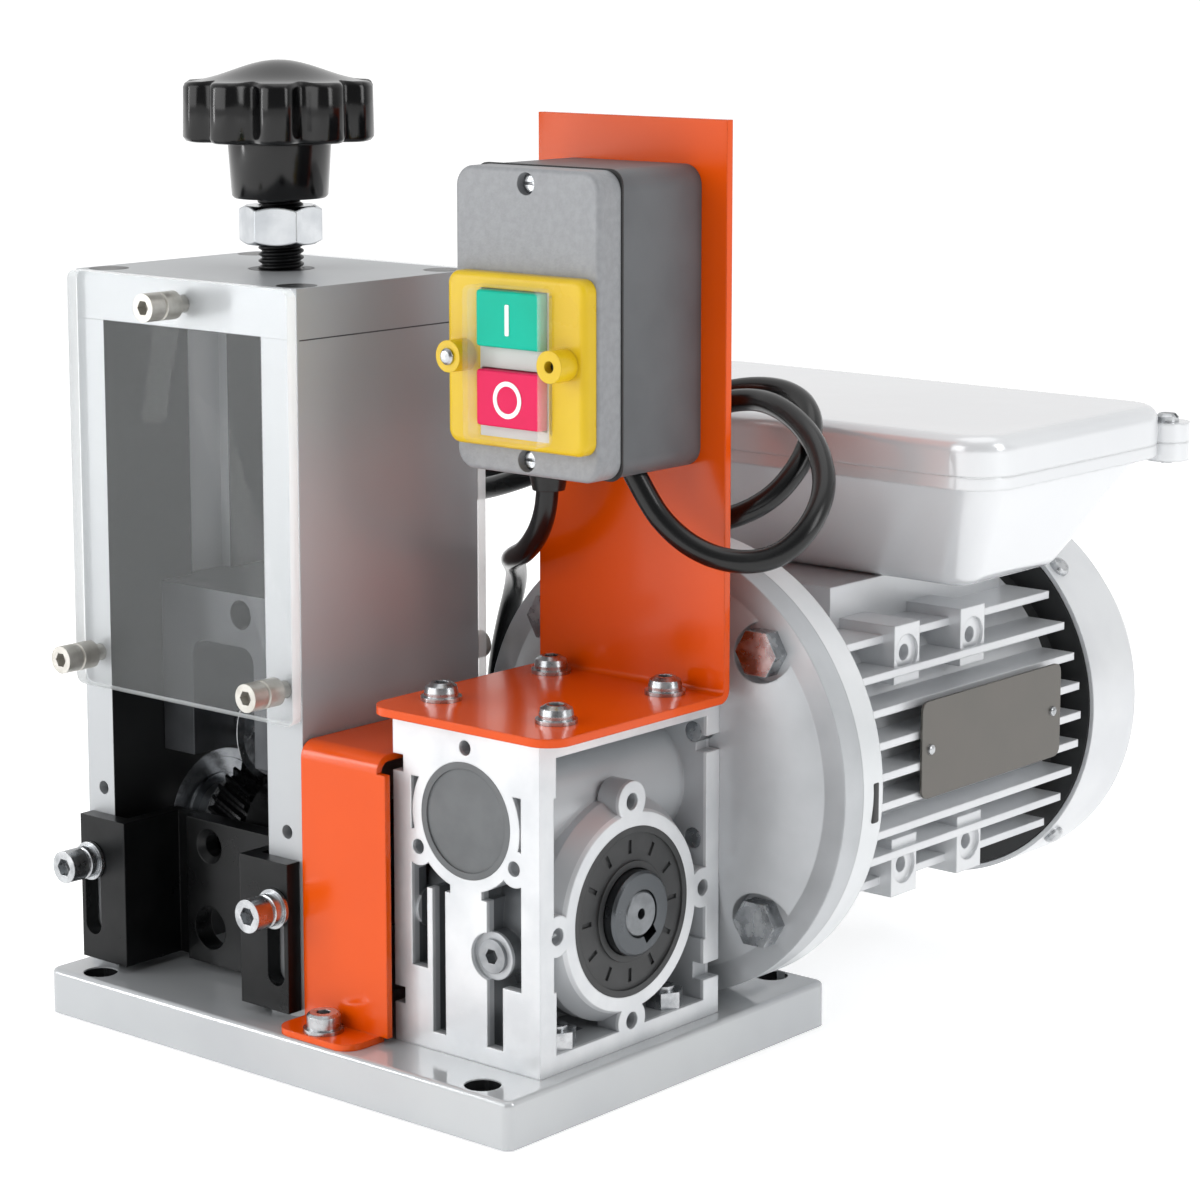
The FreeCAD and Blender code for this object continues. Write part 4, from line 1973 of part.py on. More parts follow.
plug.pad("XZ", plug_length - 1, plug_length + pin_length, circle(earth_radius, 0, -earth_drop))

# Every object has to be sound and every cut has to take material, then each node is written.
doc.recompute()
cutting = ("PartDesign::Pocket", "PartDesign::Groove", "PartDesign::SubtractiveLoft")
for item in doc.Objects:
    if "Invalid" in item.State or "Error" in item.State:
        raise ValueError("%s was not built" % item.Name)
    shape = getattr(item, "Shape", None)
    if shape is not None and (shape.isNull() or not shape.isValid()):
        raise ValueError("%s has no sound shape" % item.Name)
    if item.TypeId in cutting and shape.Volume > item.BaseFeature.Shape.Volume - 0.1:
        raise ValueError("%s cuts nothing" % item.Name)
os.makedirs("parts", exist_ok=True)
for node in nodes:
    node.Shape.exportStep("parts/%s.step" % node.Label)
    print(node.Label, "solids", len(node.Shape.Solids), "volume", round(node.Shape.Volume))
print("nodes", len(nodes))
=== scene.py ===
"""Looks of a bench wire stripping machine, piece by piece in the order it is put together."""
import math

import bmesh
import bpy
from mathutils import Matrix, Vector


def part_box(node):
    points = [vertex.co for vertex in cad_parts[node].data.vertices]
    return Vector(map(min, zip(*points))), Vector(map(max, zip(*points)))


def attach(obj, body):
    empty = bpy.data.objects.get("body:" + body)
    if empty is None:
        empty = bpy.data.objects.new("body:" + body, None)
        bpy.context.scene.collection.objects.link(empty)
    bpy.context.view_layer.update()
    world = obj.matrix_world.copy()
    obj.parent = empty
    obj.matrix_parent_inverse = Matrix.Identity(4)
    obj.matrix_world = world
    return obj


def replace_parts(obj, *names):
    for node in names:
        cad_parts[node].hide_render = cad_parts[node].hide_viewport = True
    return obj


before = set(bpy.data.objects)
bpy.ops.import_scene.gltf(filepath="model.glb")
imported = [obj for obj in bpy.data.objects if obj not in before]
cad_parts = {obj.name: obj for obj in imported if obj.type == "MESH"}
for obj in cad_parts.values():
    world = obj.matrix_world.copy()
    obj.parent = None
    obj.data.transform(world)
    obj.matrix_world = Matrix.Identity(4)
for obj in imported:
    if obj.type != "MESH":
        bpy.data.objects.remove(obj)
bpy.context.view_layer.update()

# Base plate: a thick steel plate with rolled edges, sprayed with light grey enamel.
# The enamel is smooth and wet-looking, with a faint orange peel from the spray gun.


def linear(code):
    """An sRGB hex colour as the linear numbers that a shader socket takes."""
    parts = [int(code[i:i + 2], 16) / 255 for i in (0, 2, 4)]
    return [p / 12.92 if p <= 0.04045 else ((p + 0.055) / 1.055) ** 2.4 for p in parts] + [1]


def add(finish, kind, values=None, links=None, **settings):
    """Adds one shader node to a finish with its settings, its values and its links."""
    node = finish.node_tree.nodes.new("ShaderNode" + kind)
    for name, value in settings.items():
        setattr(node, name, value)
    for socket, value in (values or {}).items():
        node.inputs[socket].default_value = value
    for socket, source in (links or {}).items():
        finish.node_tree.links.new(source, node.inputs[socket])
    return node


def surface(name, light, dark, smooth, dull, patch, grain, depth, edge=0.4, **shader):
    """A finish that drifts between two tones and two roughnesses over patches of one size, with
    a fine grain of another, cut to a depth. Edges catch the light over a small radius. These
    four sizes are in millimetres."""
    made = bpy.data.materials.new(name)
    made.use_nodes = True
    made.node_tree.nodes.clear()
    place = add(made, "TexCoord").outputs["Object"]
    drift = add(made, "TexNoise", {"Scale": 1000 / patch, "Detail": 4}, {"Vector": place})
    fine = add(made, "TexNoise", {"Scale": 1000 / grain, "Detail": 3}, {"Vector": place})
    tone = add(made, "ValToRGB", links={"Fac": drift.outputs["Fac"]})
    low, high = tone.color_ramp.elements
    low.position, low.color = 0.35, linear(dark)
    high.position, high.color = 0.65, linear(light)
    gloss = add(
        made, "MapRange", {"From Min": 0.3, "From Max": 0.7, "To Min": smooth, "To Max": dull},
        {"Value": drift.outputs["Fac"]}
    )
    corner = add(made, "Bevel", {"Radius": edge / 1000}, samples=4)
    relief = add(
        made, "Bump", {"Distance": depth / 1000, "Strength": 1},
        {"Height": fine.outputs["Fac"], "Normal": corner.outputs["Normal"]}
    )
    skin = add(
        made, "BsdfPrincipled", {k.replace("_", " "): v for k, v in shader.items()},
        {"Base Color": tone.outputs["Color"], "Roughness": gloss.outputs["Result"],
         "Normal": relief.outputs["Normal"]}
    )
    add(made, "OutputMaterial", links={"Surface": skin.outputs["BSDF"]})
    return made


def dress(finish, *names):
    """Gives CAD pieces their finish."""
    for name in names:
        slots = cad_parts[name].data.materials
        slots.clear()
        slots.append(finish)


def recolour(finish, low, high, code, metallic=None):
    """Another colour for a finish where the surface lies inside a box."""
    middle = [(a + b) / 2 for a, b in zip(low, high)]
    half = [(b - a) / 2 for a, b in zip(low, high)]
    tree = finish.node_tree
    place = tree.nodes["Texture Coordinate"].outputs["Object"]
    from_middle = add(finish, "VectorMath", {1: middle}, {0: place}, operation="SUBTRACT")
    distance = add(finish, "VectorMath", links={0: from_middle.outputs[0]}, operation="ABSOLUTE")
    past = add(finish, "VectorMath", {1: half}, {0: distance.outputs[0]}, operation="SUBTRACT")
    sides = add(finish, "SeparateXYZ", links={"Vector": past.outputs[0]}).outputs
    across = add(finish, "Math", links={0: sides["X"], 1: sides["Y"]}, operation="MAXIMUM")
    worst = add(finish, "Math", links={0: across.outputs[0], 1: sides["Z"]}, operation="MAXIMUM")
    inside = add(finish, "Math", {1: 0}, {0: worst.outputs[0]}, operation="LESS_THAN")
    skin = tree.nodes["Principled BSDF"]
    tone = add(
        finish, "MixRGB", {"Color2": linear(code)},
        {"Fac": inside.outputs[0], "Color1": skin.inputs["Base Color"].links[0].from_socket}
    )
    tree.links.new(tone.outputs["Color"], skin.inputs["Base Color"])
    if metallic is not None:
        shine = add(
            finish, "MapRange",
            {"To Min": skin.inputs["Metallic"].default_value, "To Max": metallic},
            {"Value": inside.outputs[0]}
        )
        tree.links.new(shine.outputs["Result"], skin.inputs["Metallic"])


enamel = surface(
    "base_enamel", light="B8BBBD", dark="B0B3B6", smooth=0.09, dull=0.14, patch=60, grain=1.2,
    depth=0.004, edge=0.6, Coat_Weight=0.6, Metallic=0.2
)
# The walls of the drilled holes lie inside the plate's skin and are painted dark as shade.
base_low, base_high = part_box("base_plate")
hole_shade_margin, top_skin = Vector((0.002, 0.002, 0)), Vector((0, 0, 0.0004))
recolour(enamel, base_low + hole_shade_margin, base_high - hole_shade_margin - top_skin, "232425")
dress(enamel, "base_plate")

# Tower: two thick side plates and a top plate, screwed together and sprayed silver grey.
# The satin paint holds a fine metal flake; the inner faces are painted dark as shade.
tower_paint = surface(
    "tower_satin_paint", light="B0B3B5", dark="A9ACAF", smooth=0.3, dull=0.38, patch=90,
    grain=0.6, depth=0.008, Metallic=0.3
)
tower_low, tower_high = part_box("side_plate_left")[0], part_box("side_plate_right")[1]
paint_edge, past_faces = 0.0002, 0.01
top_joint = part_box("top_plate")[0].z
# The faces between the side plates, up to the top plate, are painted dark as shade.
inner_shade_low = Vector((
    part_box("side_plate_left")[1].x - paint_edge, tower_low.y - past_faces, base_high.z
))
inner_shade_high = Vector((
    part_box("side_plate_right")[0].x + paint_edge, tower_high.y + past_faces,
    top_joint + paint_edge
))
recolour(tower_paint, inner_shade_low, inner_shade_high, "1E1F20")
# The joint under the top plate shows on both sides as a thin dark line.
seam_half, seam_depth = 0.0002, 0.001
for side in (tower_low.x, tower_high.x):
    recolour(
        tower_paint,
        Vector((side - seam_depth, tower_low.y + seam_depth, top_joint - seam_half)),
        Vector((side + seam_depth, tower_high.y, top_joint + seam_half)), "4A4C4E"
    )
dress(tower_paint, "side_plate_left", "side_plate_right", "top_plate")

# Fixings: turned stainless steel screws with hexagon sockets, washers and spacers.
# Turning leaves fine rings and a bright, slightly cloudy shine.
stainless = surface(
    "turned_stainless", light="C4C6C8", dark="9A9DA0", smooth=0.2, dull=0.34, patch=4,
    grain=0.3, depth=0.01, edge=0.3, Metallic=1
)
dress(
    stainless, "guide_fixings", "blade_axle", "gearbox_bolts", "flange_bolts", "adapter_screws",
    "lid_screws", "bracket_fixings", "guard_fixings", "switch_cover_screws"
)

# Cover screws: six long socket screws with a spacer each, barrel-plated with nickel.
# The plating is paler and warmer than bare stainless steel, and nearly matt.
pale_nickel = surface(
    "pale_nickel_plate", light="C2C0BA", dark="B0ADA6", smooth=0.32, dull=0.44, patch=4,
    grain=0.4, depth=0.02, edge=0.3, Metallic=0.7
)
dress(pale_nickel, "cover_screws")

# Bearings and shafts: ground bearing steel, pressed into its seats and bright with a thin
# film of oil. The drive shaft and its key are turned mild steel, greyer and duller.
ground_steel = surface(
    "ground_bearing_steel", light="B9BCC0", dark="8E9195", smooth=0.14, dull=0.24, patch=6,
    grain=0.2, depth=0.004, edge=0.3, Metallic=1
)
dress(ground_steel, "drive_bearings", "gearbox_bearings", "motor_bearings", "rotor", "worm")
shaft_steel = surface(
    "turned_shaft_steel", light="85888B", dark="707376", smooth=0.28, dull=0.38, patch=5,
    grain=0.3, depth=0.01, edge=0.3, Metallic=0.9
)
dress(shaft_steel, "drive_shaft", "shaft_key")

# Clear covers: cast acrylic sheet with rounded corners, held off the plates by a hair. It is
# polished on its faces and sawn round its rim, so that the rim shows as a whitish line and
# the faces only as a thin gloss.


def finish_piece(name, shape, finish, body, sharp=30):
    """A bmesh as a piece that rides on a body, smooth except where it turns sharply."""
    bmesh.ops.recalc_face_normals(shape, faces=shape.faces)
    mesh = bpy.data.meshes.new(name)
    shape.to_mesh(mesh)
    shape.free()
    mesh.materials.append(finish)
    mesh.shade_smooth()
    mesh.set_sharp_from_angle(angle=math.radians(sharp))
    made = bpy.data.objects.new(name, mesh)
    bpy.context.scene.collection.objects.link(made)
    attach(made, body)
    return made


def round_edges(shape, edges, radius, segments):
    """Rounds some edges of a shape."""
    bmesh.ops.bevel(
        shape, geom=edges, offset=radius, segments=segments, profile=0.5, affect="EDGES",
        material=-1
    )


def block(middle, size, axes, radius, segments):
    """A block about a middle, rounded on the edges that run along some axes."""
    shape = bmesh.new()
    bmesh.ops.create_cube(shape, size=1)
    along = [
        e for e in shape.edges if any(e.verts[0].co[axis] != e.verts[1].co[axis] for axis in axes)
    ]
    bmesh.ops.scale(shape, vec=size, verts=shape.verts)
    bmesh.ops.translate(shape, vec=middle, verts=shape.verts)
    round_edges(shape, along, radius, segments)
    return shape


def clear(name, tint, body, rim, gloss):
    """A clear sheet: nearly see-through on its broad faces and whitish at its rim."""
    made = surface(
        name, tint, tint, smooth=gloss, dull=gloss + 0.03, patch=30, grain=50, depth=0.004,
        edge=0.3, IOR=1.49
    )
    facing = add(made, "NewGeometry").outputs["True Normal"]
    split = add(made, "SeparateXYZ", links={"Vector": facing})
    flat = add(made, "Math", links={0: split.outputs["Y"]}, operation="ABSOLUTE")
    share = add(
        made, "MapRange", {"From Min": 0.3, "From Max": 0.9, "To Min": rim, "To Max": body},
        {"Value": flat.outputs[0]}
    )
    sheet = made.node_tree.nodes["Principled BSDF"]
    made.node_tree.links.new(share.outputs["Result"], sheet.inputs["Alpha"])
    return made


acrylic = clear("cast_acrylic", "F4F8F9", body=0.05, rim=0.75, gloss=0.02)
sheet_gap, sheet_corner, sheet_edge = Vector((0, 0.00012, 0)), 0.003, 0.0004
for sheet_name, node in (("front_sheet", "front_cover"), ("rear_sheet", "rear_cover")):
    sheet_low, sheet_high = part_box(node)
    if node == "front_cover":
        sheet_high = sheet_high - sheet_gap
    else:
        sheet_low = sheet_low + sheet_gap
    pane = block(
        (sheet_low + sheet_high) / 2, sheet_high - sheet_low, [1], sheet_corner, segments=5
    )
    rim = [e for e in pane.edges if abs(e.verts[0].co.y - e.verts[1].co.y) < sheet_gap.y]
    round_edges(pane, rim, sheet_edge, segments=2)
    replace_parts(finish_piece(sheet_name, pane, acrylic, "machine_frame"), node)

# Wire guide and blade carriage: milled steel blocks. The guide, as the tower's screws, is
# blackened in hot oxide, which leaves a satin black with a trace of brown; the carriage keeps
# the dull grey of the mill.
black_oxide = surface(
    "black_oxide_steel", light="1B1C1D", dark="121314", smooth=0.26, dull=0.4, patch=12,
    grain=0.4, depth=0.012, edge=0.5, Metallic=0.5, Specular_IOR_Level=0.35
)
dress(black_oxide, "guide_bracket", "tower_screws")
milled_steel = surface(
    "milled_grey_steel", light="4E5053", dark="424447", smooth=0.34, dull=0.46, patch=10,
    grain=0.4, depth=0.01, edge=0.5, Metallic=0.7
)
dress(milled_steel, "blade_carriage")

# Feed wheel: a hardened steel roller with slanted ridges between two smooth shoulders.
# The ridges are blackened; the shoulder on the left is painted bright as a highlight.


def turned(shape, corners, centre, axis, steps=64):
    """Spins a line of (along the axis, radius) corners a full turn about an axis."""
    axis = Vector(axis)
    side = axis.orthogonal().normalized()
    line = [shape.verts.new(Vector(centre) + axis * a + side * r) for a, r in corners]
    edges = [shape.edges.new(pair) for pair in zip(line, line[1:])]
    bmesh.ops.spin(
        shape, geom=line + edges, cent=centre, axis=axis, angle=math.tau, steps=steps,
        use_merge=True
    )
    bmesh.ops.remove_doubles(shape, verts=shape.verts, dist=0.000001)


wheel_black = surface(
    "blackened_roller_steel", light="1B1C1D", dark="111213", smooth=0.2, dull=0.32, patch=8,
    grain=0.3, depth=0.01, edge=0.3, Metallic=0.7
)
roller_low, roller_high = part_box("feed_wheel")
roller_y, roller_z = (roller_low.y + roller_high.y) / 2, (roller_low.z + roller_high.z) / 2
roller_radius, ridge_depth, ridge_count = (roller_high.z - roller_low.z) / 2, 0.0022, 30
shoulder, slant, roller_steps = 0.009, math.radians(16), 6
face_radius, face_chamfer = 0.011, 0.0015
roller = bmesh.new()
ridge_face = bmesh.ops.create_circle(
    roller, segments=ridge_count * 4, radius=roller_radius, cap_ends=True,
    matrix=Matrix.Translation((roller_low.x + shoulder, roller_y, roller_z))
    @ Matrix.Rotation(math.radians(90), 4, "Y")
)["verts"]
axle_line = Vector((0, roller_y, roller_z))
# Each ridge has four corners round the face: two stay out and two go in to the valley.
for number, corner in enumerate(ridge_face):
    if number % 4 in (2, 3):
        out = Vector((0, corner.co.y - roller_y, corner.co.z - roller_z)).normalized()
        corner.co -= out * ridge_depth
ring = roller.faces[:]
step_along = (roller_high.x - roller_low.x - 2 * shoulder) / roller_steps
for step in range(roller_steps):
    grown = bmesh.ops.extrude_face_region(roller, geom=ring, use_keep_orig=step == 0)
    moved = [g for g in grown["geom"] if isinstance(g, bmesh.types.BMVert)]
    bmesh.ops.rotate(
        roller, cent=axle_line, matrix=Matrix.Rotation(slant / roller_steps, 3, "X"), verts=moved
    )
    bmesh.ops.translate(roller, verts=moved, vec=(step_along, 0, 0))
    ring = [g for g in grown["geom"] if isinstance(g, bmesh.types.BMFace)]
for start, way in ((roller_low.x, 1), (roller_high.x, -1)):
    turned(roller, [
        (0, 0), (0, face_radius), (face_chamfer, face_radius + face_chamfer),
        (shoulder, roller_radius - ridge_depth), (shoulder, 0)
    ], (start, roller_y, roller_z), (way, 0, 0), 48)
wheel_piece = finish_piece("feed_roller", roller, wheel_black, "drive")
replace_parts(wheel_piece, "feed_wheel")
# The shoulder on the left is painted bright as a highlight.
highlight_margin = 0.001
recolour(
    wheel_black, roller_low - Vector((highlight_margin, highlight_margin, highlight_margin)),
    Vector((roller_low.x + shoulder - highlight_margin, roller_high.y, roller_high.z)), "C4C6C8"
)

# Blade: a round hardened steel cutter, ground to an edge on both sides, that turns freely on
# its axle. The fine lines of the grinding blur its mirror a little.
cutter = surface(
    "ground_blade", light="C9CBCD", dark="A5A8AC", smooth=0.18, dull=0.28, patch=3, grain=0.2,
    depth=0.006, Metallic=1
)
dress(cutter, "blade")

# Adjusting screw: a black steel rod with a rolled coarse thread that lifts the carriage.
# The thread is one ridge that winds up the rod, with flat crests that shine.
screw_low, screw_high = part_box("adjusting_screw")
screw_x, screw_y = (screw_low.x + screw_high.x) / 2, (screw_low.y + screw_high.y) / 2
thread_outer, thread_root, thread_pitch, turn_steps = 0.0069, 0.0059, 0.002, 24
button_radius, button_height, neck_radius, neck_height = 0.008, 0.0057, 0.0055, 0.014
thread_start = screw_low.z + neck_height
thread_turns = int((screw_high.z - thread_start) / thread_pitch) + 1
screw = bmesh.new()
# One pitch of the ridge as (up the rod, radius) corners: root, flank, crest, flank.
profile = [
    (0, thread_root), (0.0003, thread_root), (0.0009, thread_outer), (0.0014, thread_outer),
    (thread_pitch, thread_root)
]
corners = [
    screw.verts.new((screw_x + radius, screw_y, thread_start - thread_pitch + along))
    for along, radius in profile
]
flank = [screw.edges.new(pair) for pair in zip(corners, corners[1:])]
bmesh.ops.spin(
    screw, geom=corners + flank, cent=(screw_x, screw_y, 0), axis=(0, 0, 1),
    dvec=(0, 0, thread_pitch / turn_steps), angle=math.tau * (thread_turns + 1),
    steps=turn_steps * (thread_turns + 1)
)
bmesh.ops.remove_doubles(screw, verts=screw.verts, dist=0.00002)
for level, facing in ((thread_start, -1), (screw_high.z, 1)):
    cut = bmesh.ops.bisect_plane(
        screw, geom=screw.verts[:] + screw.edges[:] + screw.faces[:],
        plane_co=(screw_x, screw_y, level), plane_no=(0, 0, facing), clear_outer=True
    )
    rim = [e for e in cut["geom_cut"] if isinstance(e, bmesh.types.BMEdge)]
    bmesh.ops.edgenet_fill(screw, edges=rim)
turned(screw, [
    (0, 0), (0, button_radius), (button_height, button_radius), (button_height, neck_radius),
    (thread_start - screw_low.z, neck_radius), (thread_start - screw_low.z, 0)
], (screw_x, screw_y, screw_low.z), (0, 0, 1), 32)
screw_piece = finish_piece("screw_thread", screw, black_oxide, "adjuster")
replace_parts(screw_piece, "adjusting_screw")

# Threaded bush: a steel ring set flush in the top plate, tapped for the adjusting screw.
# Its face is turned and left bare, a shade darker than the paint round it.
top_low, top_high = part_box("top_plate")
bush_radius, bush_height, bush_chamfer = 0.00975, top_high.z - top_low.z, 0.0004
bush = bmesh.new()
turned(bush, [
    (0, thread_outer), (0, bush_radius), (bush_height, bush_radius),
    (bush_height, thread_outer + bush_chamfer), (bush_height - bush_chamfer, thread_outer),
    (0, thread_outer)
], (screw_x, screw_y, top_low.z), (0, 0, 1), 64)
finish_piece("thread_bush", bush, milled_steel, "machine_frame")

# Lock nut: a hexagon nut with a bright zinc plating, almost a mirror.
# Its corners are chamfered round both faces, as turned nuts are.
zinc = surface(
    "zinc_plate", light="DDE0E3", dark="C3C7CB", smooth=0.12, dull=0.2, patch=8, grain=0.6,
    depth=0.01, edge=0.7, Metallic=1
)
nut_low, nut_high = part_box("lock_nut")
nut_height, nut_half_flats, nut_chamfer = nut_high.z - nut_low.z, 0.011, 0.0012
nut_corner, nut_face = nut_half_flats / math.cos(math.radians(30)), nut_half_flats - 0.0004
nut = bmesh.new()
turned(nut, [
    (0, thread_outer), (0, nut_face), (nut_chamfer, nut_corner),
    (nut_height - nut_chamfer, nut_corner), (nut_height, nut_face), (nut_height, thread_outer),
    (0, thread_outer)
], (screw_x, screw_y, nut_low.z), (0, 0, 1), 96)
# The turned blank is pressed in to six flats, and each chamfer falls with the way it is cut.
nut_turn, chamfer_slope = math.radians(22.5), math.tan(math.radians(30))
for corner in nut.verts:
    out = Vector((corner.co.x - screw_x, corner.co.y - screw_y, 0))
    if out.length > nut_half_flats:
        bearing = (math.atan2(out.y, out.x) + nut_turn) % math.radians(60) - math.radians(30)
        limit = nut_half_flats / math.cos(bearing)
        fall = (limit - nut_face) * chamfer_slope
        lower = corner.co.z < (nut_low.z + nut_high.z) / 2
        corner.co -= out * (1 - limit / out.length)
        corner.co.z = nut_low.z + fall if lower else nut_high.z - fall
nut_piece = finish_piece("hexagon_nut", nut, zinc, "adjuster", sharp=12)
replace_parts(nut_piece, "lock_nut")

# Knob: moulded phenolic resin, polished black, with ten soft lobes and a domed crown.
# It is screwed on the adjusting screw down to the lock nut.
phenolic = surface(
    "moulded_phenolic", light="060607", dark="040405", smooth=0.11, dull=0.17, patch=20,
    grain=1.5, depth=0.004, edge=0.8, Specular_IOR_Level=0.4
)
knob_low, knob_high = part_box("knob")
knob_radius, hub_radius, hub_height, grip_height = 0.0295, 0.0156, 0.0172, 0.0352
knob_height, lobes, lobe_depth, lobe_blend = knob_high.z - knob_low.z, 10, 0.005, 0.006
crown_radius, crown_rings = knob_radius - 0.0016, 12
crown_height = knob_height - grip_height
crown = [
    (grip_height + crown_height * (0.5 + 0.5 * math.cos(math.pi * ring / crown_rings)),
     crown_radius * ring / crown_rings) for ring in range(crown_rings, -1, -1)
]
knob = bmesh.new()
# Corners from the bore out: the hub, the underside of the grip, its rim and the crown.
turned(knob, [
    (0.0004, thread_outer), (0, thread_outer + 0.0004), (0, hub_radius - 0.0017),
    (0.0008, hub_radius - 0.001), (hub_height - 0.0008, hub_radius),
    (hub_height, hub_radius + 0.0008), (hub_height, knob_radius - 0.0022),
    (hub_height + 0.0004, knob_radius - 0.0009), (hub_height + 0.0016, knob_radius),
    (grip_height - 0.0016, knob_radius - 0.0003), (grip_height - 0.0005, knob_radius - 0.0008),
    *crown
], (screw_x, screw_y, knob_low.z), (0, 0, 1), lobes * 18)
# The valleys between the lobes go straight in, fade out at the hub and cut the crown upright.
knob_turn = math.radians(10)
for corner in knob.verts:
    out = Vector((corner.co.x - screw_x, corner.co.y - screw_y, 0))
    phase = lobes * (math.atan2(out.y, out.x) + knob_turn)
    cut = lobe_depth * (0.5 - 0.5 * math.cos(phase)) ** 2
    if corner.co.z < knob_low.z + grip_height - 0.0001:
        share = max(0, min(1, (out.length - hub_radius - 0.001) / lobe_blend))
        corner.co -= out.normalized() * cut * share
    elif out.length > crown_radius - cut:
        reach = crown_radius - cut
        corner.co -= out.normalized() * (out.length - reach)
        swell = 0.5 + 0.5 * math.cos(math.pi * reach / crown_radius)
        corner.co.z = knob_low.z + grip_height + crown_height * swell
knob_piece = finish_piece("lobed_knob", knob, phenolic, "adjuster", sharp=40)
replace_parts(knob_piece, "knob")
dress(phenolic, "fan")

# Gearbox: die-cast aluminium, shot-blasted as it comes from the mould, bright and slightly
# grainy. What lies behind its outer faces is painted darker as shade, and the gaps between
# its fins are painted dark as shade.
cast = surface(
    "die_cast_aluminium", light="DADCDE", dark="C8CBCE", smooth=0.3, dull=0.42, patch=20,
    grain=0.7, depth=0.03, edge=0.6, Metallic=0.4
)
gear_low, gear_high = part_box("gearbox_housing")
# Everything deeper than the outer faces is painted darker as shade.
recess_shade_depth = Vector((0.0012, 0.0012, 0.0012))
recolour(cast, gear_low + recess_shade_depth, gear_high - recess_shade_depth, "B4B7BA")
# The gaps between the fins are painted dark as shade.
fin_shade_low = gear_low + Vector((0.001, 0.003, 0.004))
fin_shade_high = Vector((gear_high.x - 0.01, gear_low.y + 0.03, gear_low.z + 0.052))
recolour(cast, fin_shade_low, fin_shade_high, "5E6164")
dress(cast, "gearbox_housing")

# Gearbox fittings: a zinc-plated oil plug, a grey plastic cap over the worm's bearing and
# rubber seals round the output. The plug is satin, the cap and the seals are matt.
plug_zinc = surface(
    "oil_plug_zinc", light="9A9DA0", dark="85888B", smooth=0.3, dull=0.42, patch=5, grain=0.4,
    depth=0.01, Metallic=0.9
)
dress(plug_zinc, "oil_plug")
cap_plastic = surface(
    "cap_grey_plastic", light="5F6264", dark="55585A", smooth=0.4, dull=0.5, patch=10,
    grain=0.6, depth=0.02
)
dress(cap_plastic, "worm_cap")
seal_rubber = surface(
    "oil_seal_rubber", light="3A3B3C", dark="2A2B2C", smooth=0.45, dull=0.6, patch=10,
    grain=0.5, depth=0.02
)
dress(seal_rubber, "output_seals")

# Worm wheel: a bronze rim cast round a steel hub, cut and left bare.
# The rim is a dull yellow and the hub, which shows in the seals, a dark grey.
bronze = surface(
    "worm_wheel_bronze", light="B98A4A", dark="A0743A", smooth=0.25, dull=0.4, patch=10,
    grain=0.5, depth=0.01, Metallic=1
)
skin = bronze.node_tree.nodes["Principled BSDF"]
rim_bronze = skin.inputs["Base Color"].links[0].from_socket
wheel_low, wheel_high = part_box("worm_wheel")
wheel_middle, wheel_hub = (wheel_low + wheel_high) / 2, 0.0165
centred = add(
    bronze, "Mapping",
    {"Location": (0, -wheel_middle.y, -wheel_middle.z), "Scale": (0, 1, 1)},
    {"Vector": bronze.node_tree.nodes["Texture Coordinate"].outputs["Object"]}
)
from_axis = add(bronze, "VectorMath", links={0: centred.outputs["Vector"]}, operation="LENGTH")
hub = add(bronze, "Math", {1: wheel_hub}, {0: from_axis.outputs["Value"]}, operation="LESS_THAN")
hub_steel = add(
    bronze, "MixRGB", {"Color2": linear("5A5D60")},
    {"Fac": hub.outputs[0], "Color1": rim_bronze}
)
bronze.node_tree.links.new(hub_steel.outputs["Color"], skin.inputs["Base Color"])
dress(bronze, "worm_wheel")

# Flanges and rear shield: aluminium castings, bolted face to face. The motor's flange is
# sprayed bright silver and the gearbox's a duller grey; the shield behind the fins is painted
# black as the shade in the gap behind them.
flange_cast = surface(
    "flange_silver", light="DFE1E3", dark="D3D6D8", smooth=0.3, dull=0.4, patch=30, grain=0.8,
    depth=0.02, edge=0.8, Metallic=0.25
)
dress(flange_cast, "motor_flange")
adapter_cast = surface(
    "adapter_silver", light="BCBFC2", dark="ACAFB2", smooth=0.32, dull=0.42, patch=30,
    grain=0.8, depth=0.02, edge=0.8, Metallic=0.35
)
dress(adapter_cast, "gearbox_flange")
# The shield behind the fins is painted black as shade.
shade_black = surface(
    "shield_painted_shade", light="2B2C2D", dark="202122", smooth=0.4, dull=0.5, patch=30,
    grain=0.8, depth=0.02
)
dress(shade_black, "rear_shield")

# Flange notch: the mould for the casting leaves a narrow pocket in the flange's rim. A black
# block just proud of the rim stands for it, painted black as the shade at its deep end.
rim_low, rim_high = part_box("motor_flange")
notch_size, notch_y = Vector((0.003, 0.0034, 0.0125)), 0.0482
notch_proud, notch_drop = 0.0001, 0.003
notch_middle = Vector((
    rim_high.x - notch_size.x / 2 + notch_proud, notch_y,
    (rim_low.z + rim_high.z) / 2 - notch_drop
))
# The black block is painted shade for the pocket.
notch = block(notch_middle, notch_size, [0, 1, 2], 0.0008, segments=3)
finish_piece("flange_notch", notch, shade_black, "machine_frame")

# Motor: an extruded aluminium frame with cooling fins, sprayed with silver paint.
# The spray covers the fin tips and leaves the narrow valleys darker.
motor_silver = surface(
    "motor_silver_paint", light="D8DADC", dark="CDCFD2", smooth=0.28, dull=0.36, patch=30,
    grain=0.6, depth=0.01, edge=0.6, Metallic=0.35
)
dress(motor_silver, "motor_frame", "fan_cover")

